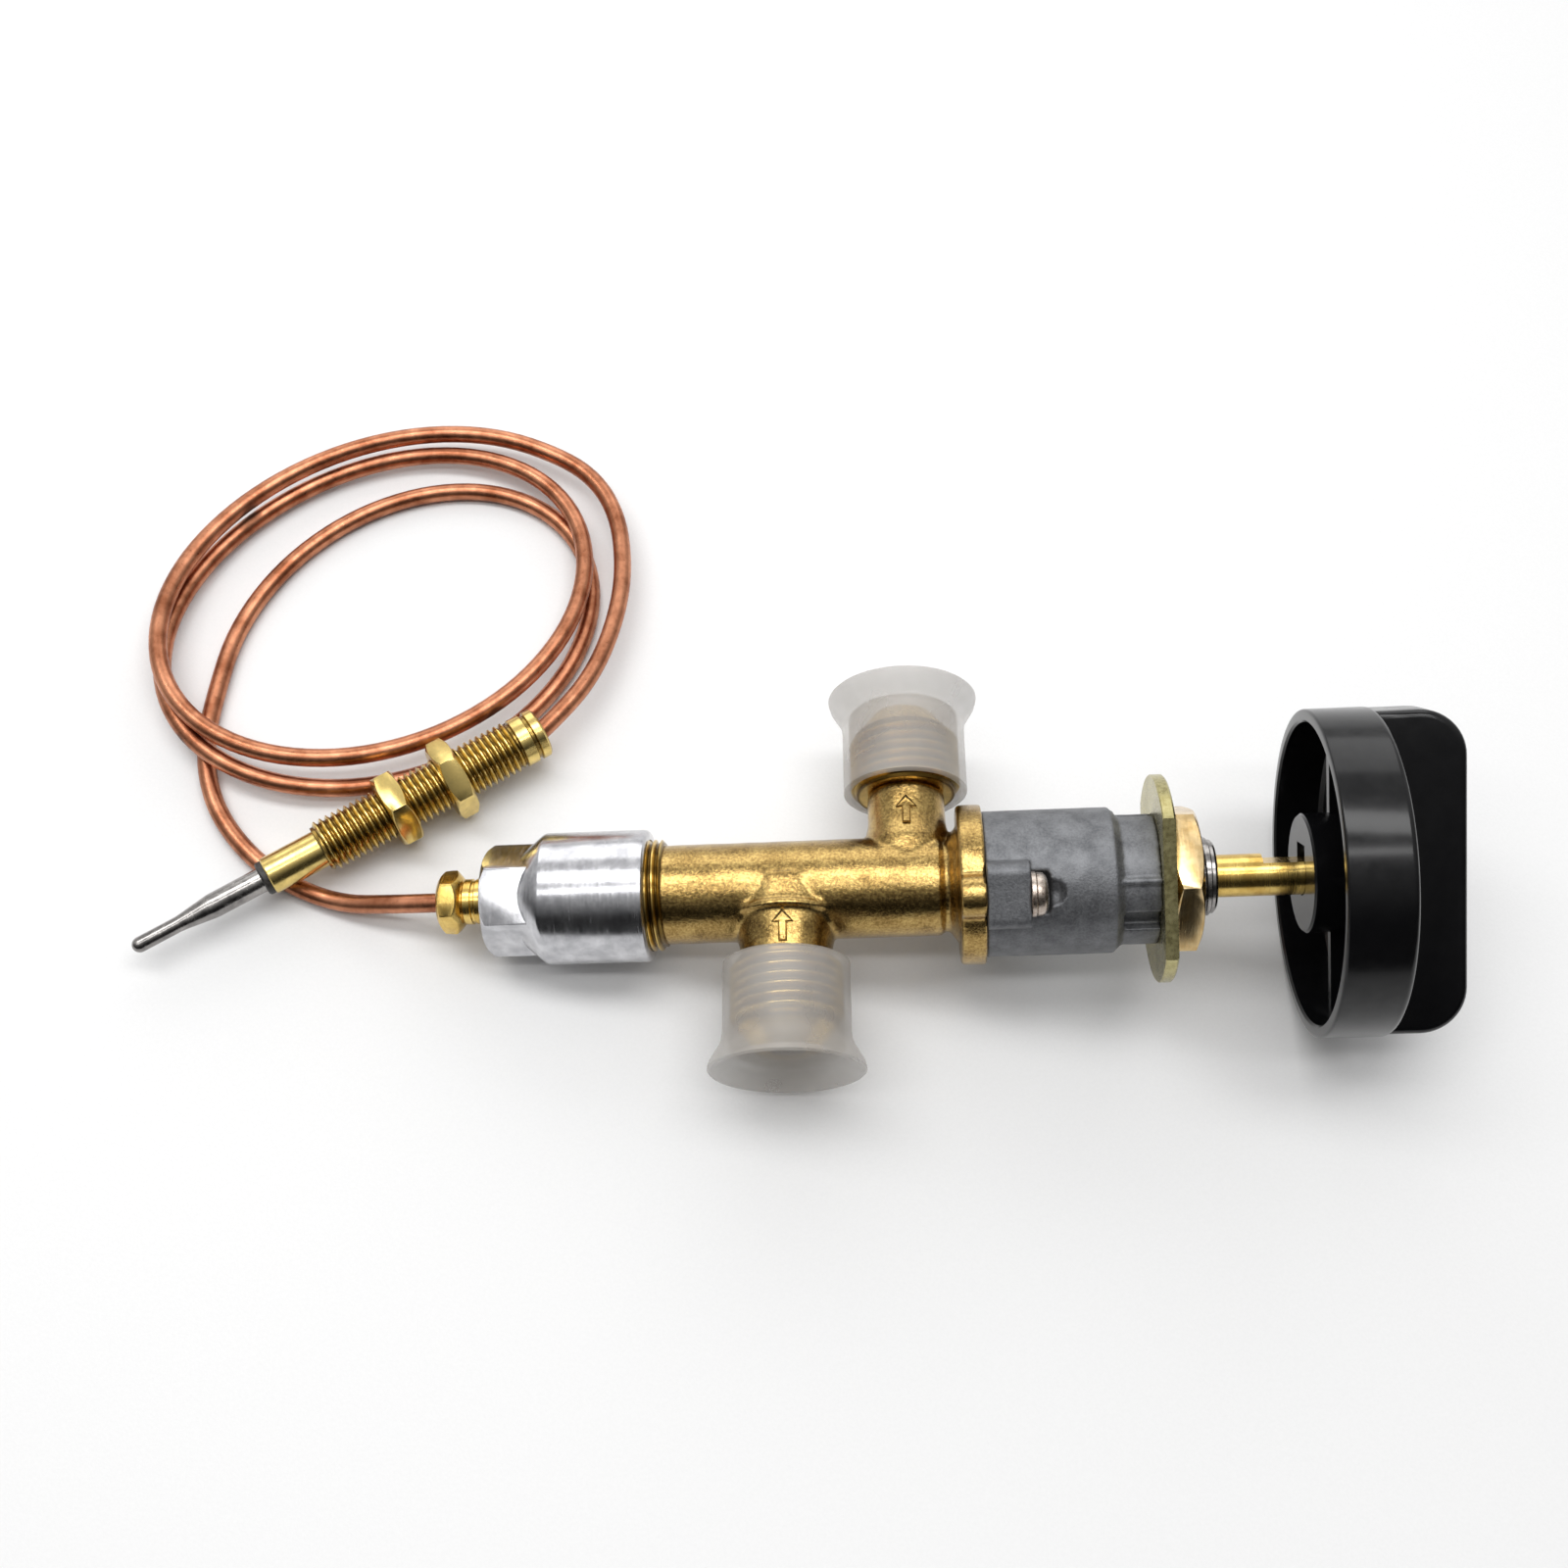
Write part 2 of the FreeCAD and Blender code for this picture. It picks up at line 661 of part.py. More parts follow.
def build_spindle_fittings():
    """Ring seal in the spindle groove, stop pin in the collar, return spring and push rod."""
    seal = new_body("spindle_ring_seal")
    half = size.ring_section / 2
    turned(seal, "ring", rectangle(size.ring_place - half, size.ring_place + half,
                                   spindle_r - size.ring_groove_depth, spindle_bore_r - size.ring_film))
    pin = new_body("stop_pin")
    sketch = sketch_on(pin, "XY_Plane", "pin", shift=(0, 0, -size.stop_pin_reach))
    draw_circle(sketch, (pin_x, 0), size.stop_pin_dia / 2)
    pad = pin.newObject("PartDesign::Pad", "pin")
    pad.Profile = sketch
    pad.Length = (size.stop_pin_reach + pin_foot).number
    bind(pad, "Length", size.stop_pin_reach + pin_foot)
    coil = new_body("spindle_spring")
    wire_r = size.spring_wire / 2
    start = plug_front + wire_r + size.spring_gap
    length = collar_back - wire_r - size.spring_gap - start
    spring(coil, "coil", start, length, size.spring_dia / 2 - wire_r, size.spring_wire, size.spring_turns)
    rod = new_body("push_rod")
    rod_end = slot_floor + size.push_travel + size.rod_socket_past
    rod_start = seat_x + size.rod_seat_gap
    turned(rod, "rod", [(rod_start, 0), (rod_start, size.push_rod_dia / 2),
                        (rod_end, size.push_rod_dia / 2), (rod_end, 0)])
    return [seal, pin, coil, rod]


def build_panel_fittings():
    """Washer with two flats and the hexagon nut that clamp the bush to a panel."""
    washer = new_body("panel_washer")
    bore_r = size.bush_dia / 2 + size.fit_gap
    turned(washer, "disc", rectangle(0, size.panel_washer_thick, bore_r, size.panel_washer_dia / 2))
    for index, side in enumerate((1, -1)):
        flat = size.panel_washer_flats / 2
        edge = size.panel_washer_dia / 2 + 1
        corners = rectangle(-edge, edge, side * flat, side * edge)
        prism(washer, f"flat_{index}", 0, size.panel_washer_thick, outlines=[corners],
              turn=size.lug_angle, cut=True)
    nut = new_body("panel_nut")
    prism(nut, "hexagon", size.panel_washer_thick, size.panel_nut_thick,
          outlines=[hexagon(size.panel_nut_flats)], circles=[((0, 0), bore_r)])
    return [washer, nut]


def build_knob():
    """Hollow round knob with a bar grip, hub, gusset ribs and a D-shaped bore."""
    body = new_body("knob")
    outer_r = size.knob_dia / 2
    inner_r = outer_r - size.knob_wall
    hub_r = size.knob_hub_dia / 2
    edge = size.knob_edge
    turned(body, "shell", [
        (size.knob_rim, inner_r), (size.knob_rim, outer_r), (knob_shoulder - edge, outer_r),
        (knob_shoulder, outer_r - edge), (knob_shoulder, 0), (hub_back, 0), (hub_back, hub_r),
        (knob_plate_back, hub_r), (knob_plate_back, inner_r)])
    sketch = sketch_on(body, "XY_Plane", "grip", turn=size.knob_bar_angle, about=(1, 0, 0))
    corner = size.knob_bar_corner
    near = corner * (1 - math.cos(math.radians(45)))
    reach = outer_r - size.grip_setback
    base = knob_shoulder - size.sunk
    draw_outline(sketch, [
        (base, -reach), (knob_front - corner, -reach), (knob_front - near, near - reach),
        (knob_front, corner - reach), (knob_front, reach - corner), (knob_front - near, reach - near),
        (knob_front - corner, reach), (base, reach)])
    bar = body.newObject("PartDesign::Pad", "grip")
    bar.Profile = sketch
    bar.SideType = "Symmetric"
    bar.Length = size.knob_bar_thick.number
    bind(bar, "Length", size.knob_bar_thick)
    rib_start = size.knob_rim + size.knob_rib_setback
    half = size.knob_rib_thick / 2
    for index in range(4):
        rib = rectangle(-half, half, hub_r - size.sunk, inner_r + size.sunk)
        prism(body, f"rib_{index}", rib_start, knob_plate_back + size.sunk - rib_start, outlines=[rib],
              turn=90 * index + size.knob_bar_angle)
    bore_end = size.spindle_reach + size.knob_bore_past
    prism(body, "shaft_bore", hub_back, bore_end - hub_back, circles=[((0, 0), spindle_r + size.knob_bore_gap)],
          cut=True)
    flat = spindle_r - size.flat_depth + size.clip_thick + size.knob_bore_gap
    key = rectangle(flat, spindle_r + size.key_past, -size.key_half, size.key_half)
    prism(body, "bore_key", hub_back + size.key_start, bore_end - hub_back - size.key_start, outlines=[key],
          turn=size.knob_bar_angle)
    return body


def build_knob_clip():
    """Spring leaf that grips the flat of the shaft inside the hub."""
    body = new_body("knob_clip")
    flat = spindle_r - size.flat_depth
    leaf = rectangle(flat, flat + size.clip_thick, -size.clip_width / 2, size.clip_width / 2)
    prism(body, "leaf", hub_back + size.clip_start, size.clip_length, outlines=[leaf], turn=size.knob_bar_angle)
    return body


def build_cap_nut():
    """Aluminium cap nut: round skirt, cone shoulder, hexagon end."""
    body = new_body("rear_cap_nut")
    outer_r = cap_nut_dia / 2
    corner_r = size.cap_hex_flats / math.sqrt(3) + size.cone_over
    edge = size.cap_edge
    turned(body, "skirt", [
        (cap_front, 0), (cap_front, outer_r - edge), (cap_front - edge, outer_r),
        (cap_shoulder, outer_r), (cap_hex_start, corner_r), (cap_end, corner_r), (cap_end, 0)])
    frame = cap_nut_dia
    ring = [rectangle(-frame, frame, -frame, frame), hexagon(size.cap_hex_flats)]
    prism(body, "hexagon", cap_end, size.cap_hex_length + size.hex_overcut, outlines=ring,
          turn=CAP_HEX_TURN, cut=True)
    thread_r_inside = size.rear_thread_dia / 2 + size.fit_gap
    flange_floor = body_end - size.magnet_seal_thick - size.magnet_flange_thick
    tail_r = size.magnet_tail_dia / 2 + size.fit_gap
    turned(body, "bore", [
        (cap_front, 0), (cap_front, thread_r_inside), (flange_floor, thread_r_inside),
        (flange_floor, tail_r), (cap_end, tail_r), (cap_end, 0)], cut=True)
    return body


def build_magnet_unit():
    """Sealed magnet unit behind the seat: housing, core, winding, terminal and its insulator."""
    housing = new_body("magnet_housing")
    front = -size.magnet_front
    outer_r = size.magnet_dia / 2
    inner_r = outer_r - size.magnet_wall
    flange_r = size.magnet_flange_dia / 2
    flange_front = body_end - size.magnet_seal_thick
    flange_rear = flange_front - size.magnet_flange_thick
    tail_r = size.magnet_tail_dia / 2
    tail_end = cap_end + size.tail_past
    socket_floor = tail_end + size.lead_thread_depth
    base_floor = socket_floor + size.magnet_base_thick + size.socket_wall
    insulator_r = size.insulator_dia / 2
    turned(housing, "shell", [
        (front, size.stem_dia / 2 + size.stem_gap), (front, outer_r), (flange_front, outer_r),
        (flange_front, flange_r), (flange_rear, flange_r), (flange_rear, tail_r), (tail_end, tail_r),
        (tail_end, size.lead_thread_dia / 2), (socket_floor, size.lead_thread_dia / 2),
        (socket_floor, insulator_r), (base_floor, insulator_r), (base_floor, inner_r),
        (front - size.magnet_wall, inner_r), (front - size.magnet_wall, size.stem_dia / 2 + size.stem_gap)])
    seal = new_body("magnet_seal")
    turned(seal, "ring", rectangle(flange_front, body_end, outer_r + size.stem_gap, flange_r))

    core = new_body("magnet_core")
    yoke_start = base_floor + size.core_gap
    leg_inner = size.core_leg_place - size.core_leg_width / 2
    leg_outer = size.core_leg_place + size.core_leg_width / 2
    half = size.core_leg_depth / 2
    prism(core, "yoke", yoke_start, size.core_yoke_thick,
          outlines=[rectangle(-leg_outer, leg_outer, -half, half)])
    for index, side in enumerate((1, -1)):
        leg = rectangle(side * leg_inner, side * leg_outer, -half, half)
        prism(core, f"leg_{index}", yoke_start, size.core_length, outlines=[leg])

    winding = new_body("magnet_winding")
    wall = size.winding_wall
    around = rectangle(leg_inner - wall, leg_outer + wall, -half - wall, half + wall)
    film = size.winding_gap
    inside = rectangle(leg_inner - film, leg_outer + film, -half - film, half + film)
    prism(winding, "winding", yoke_start + size.core_yoke_thick + size.sunk, size.winding_length,
          outlines=[around, inside])

    terminal = new_body("magnet_terminal")
    pin_r = size.terminal_dia / 2
    head_r = size.terminal_head_dia / 2
    head_front = socket_floor - size.terminal_collar
    head_back = head_front - size.terminal_head_thick
    turned(terminal, "pin", [
        (head_back, 0), (head_back, head_r), (head_front, head_r), (head_front, pin_r),
        (base_floor, pin_r), (base_floor, 0)])
    insulator = new_body("terminal_insulator")
    turned(insulator, "bush", [
        (head_front, pin_r), (head_front, head_r + size.insulator_wall),
        (socket_floor, head_r + size.insulator_wall),
        (socket_floor, insulator_r), (base_floor, insulator_r), (base_floor, pin_r)])

    face = yoke_start + size.core_length
    plate_back = face + size.armature_gap
    plate = new_body("armature_plate")
    turned(plate, "plate", [
        (plate_back, 0), (plate_back, size.armature_dia / 2),
        (plate_back + size.armature_thick, size.armature_dia / 2), (plate_back + size.armature_thick, 0)])
    disc_front = seat_x - size.fit_gap
    disc_back = disc_front - size.disc_thick
    cup_back = disc_back - size.cup_wall
    cup_front = disc_front - size.cup_setback
    stem_r = size.stem_dia / 2
    stem = new_body("armature_stem")
    turned(stem, "stem", [
        (plate_back + size.armature_thick, 0), (plate_back + size.armature_thick, stem_r),
        (seat_x + size.stem_past, stem_r),
        (seat_x + size.stem_past, 0)])
    disc = new_body("safety_disc")
    disc_r = size.disc_dia / 2
    turned(disc, "disc", rectangle(disc_back, disc_front, stem_r, disc_r))
    cup = new_body("disc_cup")
    turned(cup, "cup", [
        (cup_back, stem_r), (cup_back, disc_r + size.cup_wall), (cup_front, disc_r + size.cup_wall),
        (cup_front, disc_r), (disc_back, disc_r), (disc_back, stem_r)])
    coil = new_body("safety_spring")
    wire_r = size.safety_spring_wire / 2
    start = front + wire_r + size.spring_gap
    length = cup_back - wire_r - size.spring_gap - start
    spring(coil, "coil", start, length, size.safety_spring_dia / 2 - wire_r, size.safety_spring_wire,
           size.safety_spring_turns)
    return [housing, seal, core, winding, terminal, insulator, plate, stem, disc, cup, coil]


def build_lead_fittings():
    """Union nut of the lead and the lead's own contact end, screwed into the magnet unit."""
    nut = new_body("lead_nut")
    neck_end = cap_end - size.lead_nut_neck_length
    thread_front = cap_end + size.lead_thread_depth - size.lead_thread_length
    lead_r = size.lead_dia / 2
    nut_bore = lead_r + size.fit_gap
    thread_outer = size.lead_thread_dia / 2 - size.fit_gap
    turned(nut, "neck", [
        (neck_end, nut_bore), (neck_end, size.lead_nut_neck_dia / 2), (cap_end, size.lead_nut_neck_dia / 2),
        (cap_end + size.lead_thread_chamfer, thread_outer), (thread_front, thread_outer), (thread_front, nut_bore)])
    prism(nut, "hexagon", lead_exit, size.lead_nut_hex_length, outlines=[hexagon(size.lead_nut_flats)],
          circles=[((0, 0), nut_bore)], turn=LEAD_NUT_TURN)
    contact = new_body("lead_contact")
    ferrule_back = thread_front + size.ferrule_gap
    tip = cap_end + size.tail_past + size.lead_thread_depth - size.terminal_head_thick - size.terminal_collar
    turned(contact, "ferrule", [
        (lead_exit, 0), (lead_exit, lead_r), (ferrule_back, lead_r), (ferrule_back, size.ferrule_dia / 2),
        (ferrule_back + size.ferrule_step, size.ferrule_dia / 2), (tip, lead_r - size.ferrule_taper),
        (tip, 0)])
    return [nut, contact]


# The lead's route where it isn't coiled, in valve coordinates: from the nut to the coil,
# and from the coil to the hot end.
START_ROUTE = [
    (-102.0, 0.0, 0.0), (-110.0, 0.5, -1.3), (-118.5, 1.8, -3.7), (-126.5, 5.0, -3.0),
    (-133.0, 9.9, -2.2), (-138.0, 16.2, -1.6), (-140.9, 23.0, -1.2), (-141.9, 27.5, -1.1),
]
END_ROUTE = [
    (-78.3, 61.0, -5.4), (-78.4, 54.0, -5.4), (-79.8, 46.5, -5.0), (-82.0, 39.8, -4.4),
    (-85.3, 33.8, -3.6), (-89.5, 28.7, -2.8),
]
COIL_CENTRE = FreeCAD.Vector(-113.5, 52.5, -6.1)
COIL_TURN = 42
COIL_INNER_SHIFT = -2
BENCH_TILT = 7.15
PROBE_TIP = FreeCAD.Vector(-145.3, -6.5, 3.3)


def tube_along(name, route):
    """A round tube along straight runs that tangent arcs join."""
    points = [FreeCAD.Vector(*point) for point in route]
    edges = []
    begin = points[0]
    smallest = None
    for before, corner, after in zip(points, points[1:], points[2:]):
        inward = (corner - before).normalize()
        outward = (after - corner).normalize()
        turn = inward.getAngle(outward)
        shorter = min((corner - before).Length, (after - corner).Length)
        setback = 0.45 * shorter
        radius = setback / math.tan(turn / 2)
        smallest = radius if smallest is None else min(smallest, radius)
        arc_start = corner - inward * setback
        arc_end = corner + outward * setback
        sideways = (outward - inward).normalize()
        centre = corner + sideways * (radius / math.cos(turn / 2))
        middle = centre - sideways * radius
        edges.append(Part.LineSegment(begin, arc_start).toShape())
        edges.append(Part.Arc(arc_start, middle, arc_end).toShape())
        begin = arc_end
    edges.append(Part.LineSegment(begin, points[-1]).toShape())
    path = Part.Wire(edges)
    radius = size.lead_dia.number / 2
    section = Part.Wire(Part.makeCircle(radius, points[0], points[1] - points[0]))
    solid = path.makePipeShell([section], True, False)
    exact = math.pi * radius ** 2 * path.Length
    print(f"{name}: smallest radius {smallest:.1f}, length {path.Length:.1f}, "
          f"volume {solid.Volume:.1f} of {exact:.1f}")
    if abs(solid.Volume - exact) > 0.01 * exact:
        raise ValueError(f"{name}: the sweep has the wrong volume")
    feature = doc.addObject("Part::Feature", name)
    feature.Label = name
    feature.Shape = solid
    return feature


def build_coil():
    """The outer shape of the coiled lead: a low oval ring that lies on the bench."""
    def oval(long_dia, short_dia, shift):
        centre = FreeCAD.Vector(shift, shift, 0)
        ellipse = Part.Ellipse(centre, long_dia.number / 2, short_dia.number / 2)
        return Part.Face(Part.Wire(ellipse.toShape()))

    outer = oval(size.coil_long_dia, size.coil_short_dia, 0)
    inner = oval(size.coil_inner_long_dia, size.coil_inner_short_dia, COIL_INNER_SHIFT)
    rise = size.coil_layers.number * size.lead_dia.number
    ring = outer.cut(inner).extrude(FreeCAD.Vector(0, 0, rise))
    feature = doc.addObject("Part::Feature", "lead_coil")
    feature.Label = "lead_coil"
    feature.Shape = ring.Solids[0]
    tilt = FreeCAD.Rotation(FreeCAD.Vector(0, 1, 0), BENCH_TILT)
    turn = FreeCAD.Rotation(FreeCAD.Vector(0, 0, 1), COIL_TURN)
    feature.Placement = FreeCAD.Placement(COIL_CENTRE, tilt.multiply(turn))
    return feature


def build_hot_end():
    """Threaded brass sleeve with two nuts, insulating ring and steel probe, on one axis."""
    sleeve = new_body("probe_sleeve")
    thread = size.sleeve_thread_dia / 2
    chamfer = size.sleeve_chamfer
    collar_r = size.sleeve_collar_dia / 2
    collar_end = size.sleeve_thread_length + size.sleeve_collar_length
    turned(sleeve, "sleeve", [
        (0, 0), (0, thread - chamfer), (chamfer, thread), (size.sleeve_thread_length - chamfer, thread),
        (size.sleeve_thread_length, collar_r), (collar_end, collar_r), (collar_end, 0)])
    nuts = []
    places = (("rear", size.sleeve_nut_rear_place, REAR_NUT_TURN),
              ("front", size.sleeve_nut_front_place, FRONT_NUT_TURN))
    for name, place, angle in places:
        nut = new_body(f"sleeve_nut_{name}")
        prism(nut, f"hexagon_{name}", place, size.sleeve_nut_thick,
              outlines=[hexagon(size.sleeve_nut_flats)],
              circles=[((0, 0), size.sleeve_thread_dia / 2 + size.nut_film)], turn=angle)
        nuts.append(nut)
    ring_end = collar_end + size.insulator_ring_length
    ring = new_body("insulator_ring")
    turned(ring, "ring", [
        (collar_end, 0), (collar_end, size.insulator_ring_dia / 2),
        (ring_end, size.insulator_ring_dia / 2), (ring_end, 0)])
    probe = new_body("probe")
    taper_start = ring_end + size.probe_length
    tip_start = taper_start + size.probe_taper
    tip_end = tip_start + size.probe_tip_length
    tip_r = size.probe_tip_dia / 2
    turned(probe, "probe", [
        (ring_end, 0), (ring_end, size.probe_dia / 2), (taper_start, size.probe_dia / 2),
        (tip_start, tip_r), (tip_end - tip_r / 2, tip_r), (tip_end, tip_r / 2), (tip_end, 0)])
    pieces = [sleeve] + nuts + [ring, probe]
    start = FreeCAD.Vector(*END_ROUTE[-1])
    along = PROBE_TIP - start
    lie = FreeCAD.Rotation(FreeCAD.Vector(1, 0, 0), along)
    for piece in pieces:
        piece.Placement = FreeCAD.Placement(start, lie)
    return pieces


def build_port_caps():
    """Soft plastic caps on the two flare threads, each with a septum and a bell mouth."""
    caps = []
    for name, place, side, reach in (("inlet", inlet_x, -1, size.inlet_neck_reach),
                                     ("outlet", outlet_x, 1, size.outlet_neck_reach)):
        cap = new_body(f"{name}_cap")
        bore_r = thread_r + size.cap_gap
        wall_r = bore_r + size.cap_wall
        start = reach + size.soft_cap_start
        septum_start = reach + size.port_thread_length + size.port_cone_length + size.soft_cap_gap
        septum_end = septum_start + size.cap_septum
        end = start + size.cap_length
        bell_start = end - size.cap_bell_length
        bell_r = size.cap_bell_dia / 2
        middle = (bell_start + end) / 2
        turned_port(cap, f"{name}_cap_shell", place, [
            (bore_r, side * start), (wall_r, side * start), (wall_r, side * bell_start),
            (wall_r + size.bell_flare, side * middle), (bell_r, side * (end - size.bell_lip)),
            (bell_r, side * end),
            (bell_r - size.cap_wall, side * end),
            (wall_r - size.bell_slope, side * septum_end),
            (0, side * septum_end), (0, side * septum_start), (bore_r, side * septum_start)])
        caps.append(cap)
    return caps


def check_document():
    """Stop if any object failed, any shape is bad or any cut removed nothing."""
    for item in doc.Objects:
        if "Invalid" in item.State or "Error" in item.State:
            raise ValueError(f"{item.Name} failed: {item.State}")
        if item.TypeId in ("PartDesign::Pocket", "PartDesign::Groove"):
            before = item.BaseFeature.Shape.Volume
            if before - item.Shape.Volume < 0.001:
                raise ValueError(f"{item.Name} cuts nothing")


def check_piece(piece):
    shape = piece.Shape
    if shape.isNull() or not shape.isValid() or shape.Volume <= 0:
        raise ValueError(f"{piece.Label} has no good shape")
    if len(shape.Solids) != 1:
        raise ValueError(f"{piece.Label} has {len(shape.Solids)} solids")


pieces = [build_valve_body(), build_front_housing(), build_gasket()]
pieces += build_screws()
pieces += [build_plug(), build_spindle()]
pieces += build_spindle_fittings()
pieces += build_panel_fittings()
pieces += [build_knob(), build_knob_clip(), build_cap_nut()]
pieces += build_magnet_unit()
pieces += build_lead_fittings()
pieces += [tube_along("lead_start", START_ROUTE), build_coil(), tube_along("lead_end", END_ROUTE)]
pieces += build_hot_end()
pieces += build_port_caps()

doc.recompute()
check_document()
os.makedirs("parts", exist_ok=True)
for piece in pieces:
    check_piece(piece)
    piece.Shape.exportStep(f"parts/{piece.Label}.step")
print(f"{len(pieces)} pieces written")
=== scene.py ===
import json
import math
import bmesh
import bpy
from mathutils import Matrix, Vector, noise


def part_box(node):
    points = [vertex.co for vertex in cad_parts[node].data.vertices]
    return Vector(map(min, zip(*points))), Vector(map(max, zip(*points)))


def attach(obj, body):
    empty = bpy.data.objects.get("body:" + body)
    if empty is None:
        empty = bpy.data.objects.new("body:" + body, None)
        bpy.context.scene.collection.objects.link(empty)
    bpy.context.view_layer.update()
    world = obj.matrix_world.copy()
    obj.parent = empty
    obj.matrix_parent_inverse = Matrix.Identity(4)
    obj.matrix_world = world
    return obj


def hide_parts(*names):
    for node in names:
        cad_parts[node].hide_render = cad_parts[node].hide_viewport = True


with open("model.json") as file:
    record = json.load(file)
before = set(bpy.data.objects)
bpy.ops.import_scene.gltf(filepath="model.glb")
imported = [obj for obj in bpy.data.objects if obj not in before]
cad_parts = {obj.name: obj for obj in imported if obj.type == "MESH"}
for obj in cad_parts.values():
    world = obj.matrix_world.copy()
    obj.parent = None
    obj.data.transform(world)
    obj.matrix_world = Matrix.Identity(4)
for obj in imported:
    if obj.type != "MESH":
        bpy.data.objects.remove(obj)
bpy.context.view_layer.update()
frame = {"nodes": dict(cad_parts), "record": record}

nodes = frame["nodes"]
print("frame loaded with", len(nodes), "nodes")


# Meshes are built in millimetres, along X, and scaled when they are placed.

def boxOf(node):
    low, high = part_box(node)
    return Vector(low) * 1000, Vector(high) * 1000


def lathe(points, steps=96, closed=False):  # points are (place along X, radius)
    bm = bmesh.new()
    verts = [bm.verts.new((x, r, 0)) for x, r in points]
    edges = [bm.edges.new(pair) for pair in zip(verts, verts[1:])]
    if closed:
        edges.append(bm.edges.new((verts[-1], verts[0])))
    bmesh.ops.spin(bm, geom=verts + edges, cent=(0, 0, 0), axis=(1, 0, 0),
                   angle=2 * math.pi, steps=steps, use_merge=True)
    bmesh.ops.remove_doubles(bm, verts=bm.verts, dist=1e-4)
    bmesh.ops.recalc_face_normals(bm, faces=bm.faces)
    return bm


def prism(corners, low, high, upright=False):  # (y, z) corners along X, or (x, y) corners along Z
    bm = bmesh.new()
    spots = [(a, b, low) if upright else (low, a, b) for a, b in corners]
    face = bm.faces.new([bm.verts.new(spot) for spot in spots])
    grown = bmesh.ops.extrude_face_region(bm, geom=[face])["geom"]
    moved = [v for v in grown if isinstance(v, bmesh.types.BMVert)]
    rise = high - low
    bmesh.ops.translate(bm, verts=moved, vec=(0, 0, rise) if upright else (rise, 0, 0))
    bmesh.ops.recalc_face_normals(bm, faces=bm.faces)
    return bm


def hexagon(acrossFlats, turn=0):
    reach = acrossFlats / math.sqrt(3)
    angles = [math.radians(60 * i + turn) for i in range(6)]
    return [(reach * math.cos(a), reach * math.sin(a)) for a in angles]


def nutBlank(flats, turned, low, high, faceRadius, run, widest):  # a hexagon whose corners a cone takes off
    past = 0.3
    edge = faceRadius - past * (widest - faceRadius) / run
    cone = lathe([(low - past, 0), (low - past, edge), (low + run, widest), (high - run, widest),
                  (high + past, edge), (high + past, 0)])
    return combined(prism(hexagon(flats, turned), low, high), cone, "INTERSECT")


def block(low, high):
    bm = bmesh.new()
    bmesh.ops.create_cube(bm, size=1)
    size = [b - a for a, b in zip(low, high)]
    middle = [(a + b) / 2 for a, b in zip(low, high)]
    bmesh.ops.scale(bm, verts=bm.verts, vec=size)
    bmesh.ops.translate(bm, verts=bm.verts, vec=middle)
    return bm


def turn(bm, degrees, axis):
    spin = Matrix.Rotation(math.radians(degrees), 3, axis)
    bmesh.ops.rotate(bm, verts=bm.verts, cent=(0, 0, 0), matrix=spin)
    return bm


def shift(bm, x, y, z):
    bmesh.ops.translate(bm, verts=bm.verts, vec=(x, y, z))
    return bm


def together(bm, *others):  # loose shells in one mesh
    for other in others:
        mesh = bpy.data.meshes.new("work")
        other.to_mesh(mesh)
        other.free()
        bm.from_mesh(mesh)
        bpy.data.meshes.remove(mesh)
    return bm


def workObject(bm):
    mesh = bpy.data.meshes.new("work")
    bm.to_mesh(mesh)
    bm.free()
    thing = bpy.data.objects.new("work", mesh)
    bpy.context.scene.collection.objects.link(thing)
    return thing


def worked(thing, *helpers):  # the mesh with its modifiers applied; the work objects go
    bpy.context.view_layer.update()
    bm = bmesh.new()
    bm.from_object(thing, bpy.context.evaluated_depsgraph_get())
    for old in (thing, *helpers):
        mesh = old.data
        bpy.data.objects.remove(old)
        bpy.data.meshes.remove(mesh)
    return bm


def combined(bm, tool, operation):
    base = workObject(bm)
    other = workObject(tool)
    step = base.modifiers.new("combine", "BOOLEAN")
    step.operation = operation
    step.object = other
    step.solver = "MANIFOLD"
    made = worked(base, other)
    if not made.faces:
        raise ValueError("a combination came out empty")
    return made


def joined(first, *others):
    for other in others:
        first = combined(first, other, "UNION")
    return first


def cut(first, *tools):
    for tool in tools:
        first = combined(first, tool, "DIFFERENCE")
    return first


def cast(bm, voxel, rounds):  # melts the edges of a sharp solid the way a casting has them
    base = workObject(bm)
    step = base.modifiers.new("skin", "REMESH")
    step.mode = "VOXEL"
    step.voxel_size = voxel
    bm = worked(base)
    for _ in range(rounds):
        bmesh.ops.smooth_vert(bm, verts=bm.verts, factor=0.5, use_axis_x=True, use_axis_y=True,
                              use_axis_z=True)
    return bm


def soften(bm, width, segments=3, sharpest=28):
    limit = math.radians(sharpest)
    edges = [e for e in bm.edges if len(e.link_faces) == 2 and e.calc_face_angle() > limit]
    bmesh.ops.bevel(bm, geom=edges, offset=width, offset_type="OFFSET", affect="EDGES", segments=segments,
                    profile=0.5, material=-1, clamp_overlap=True)
    return bm


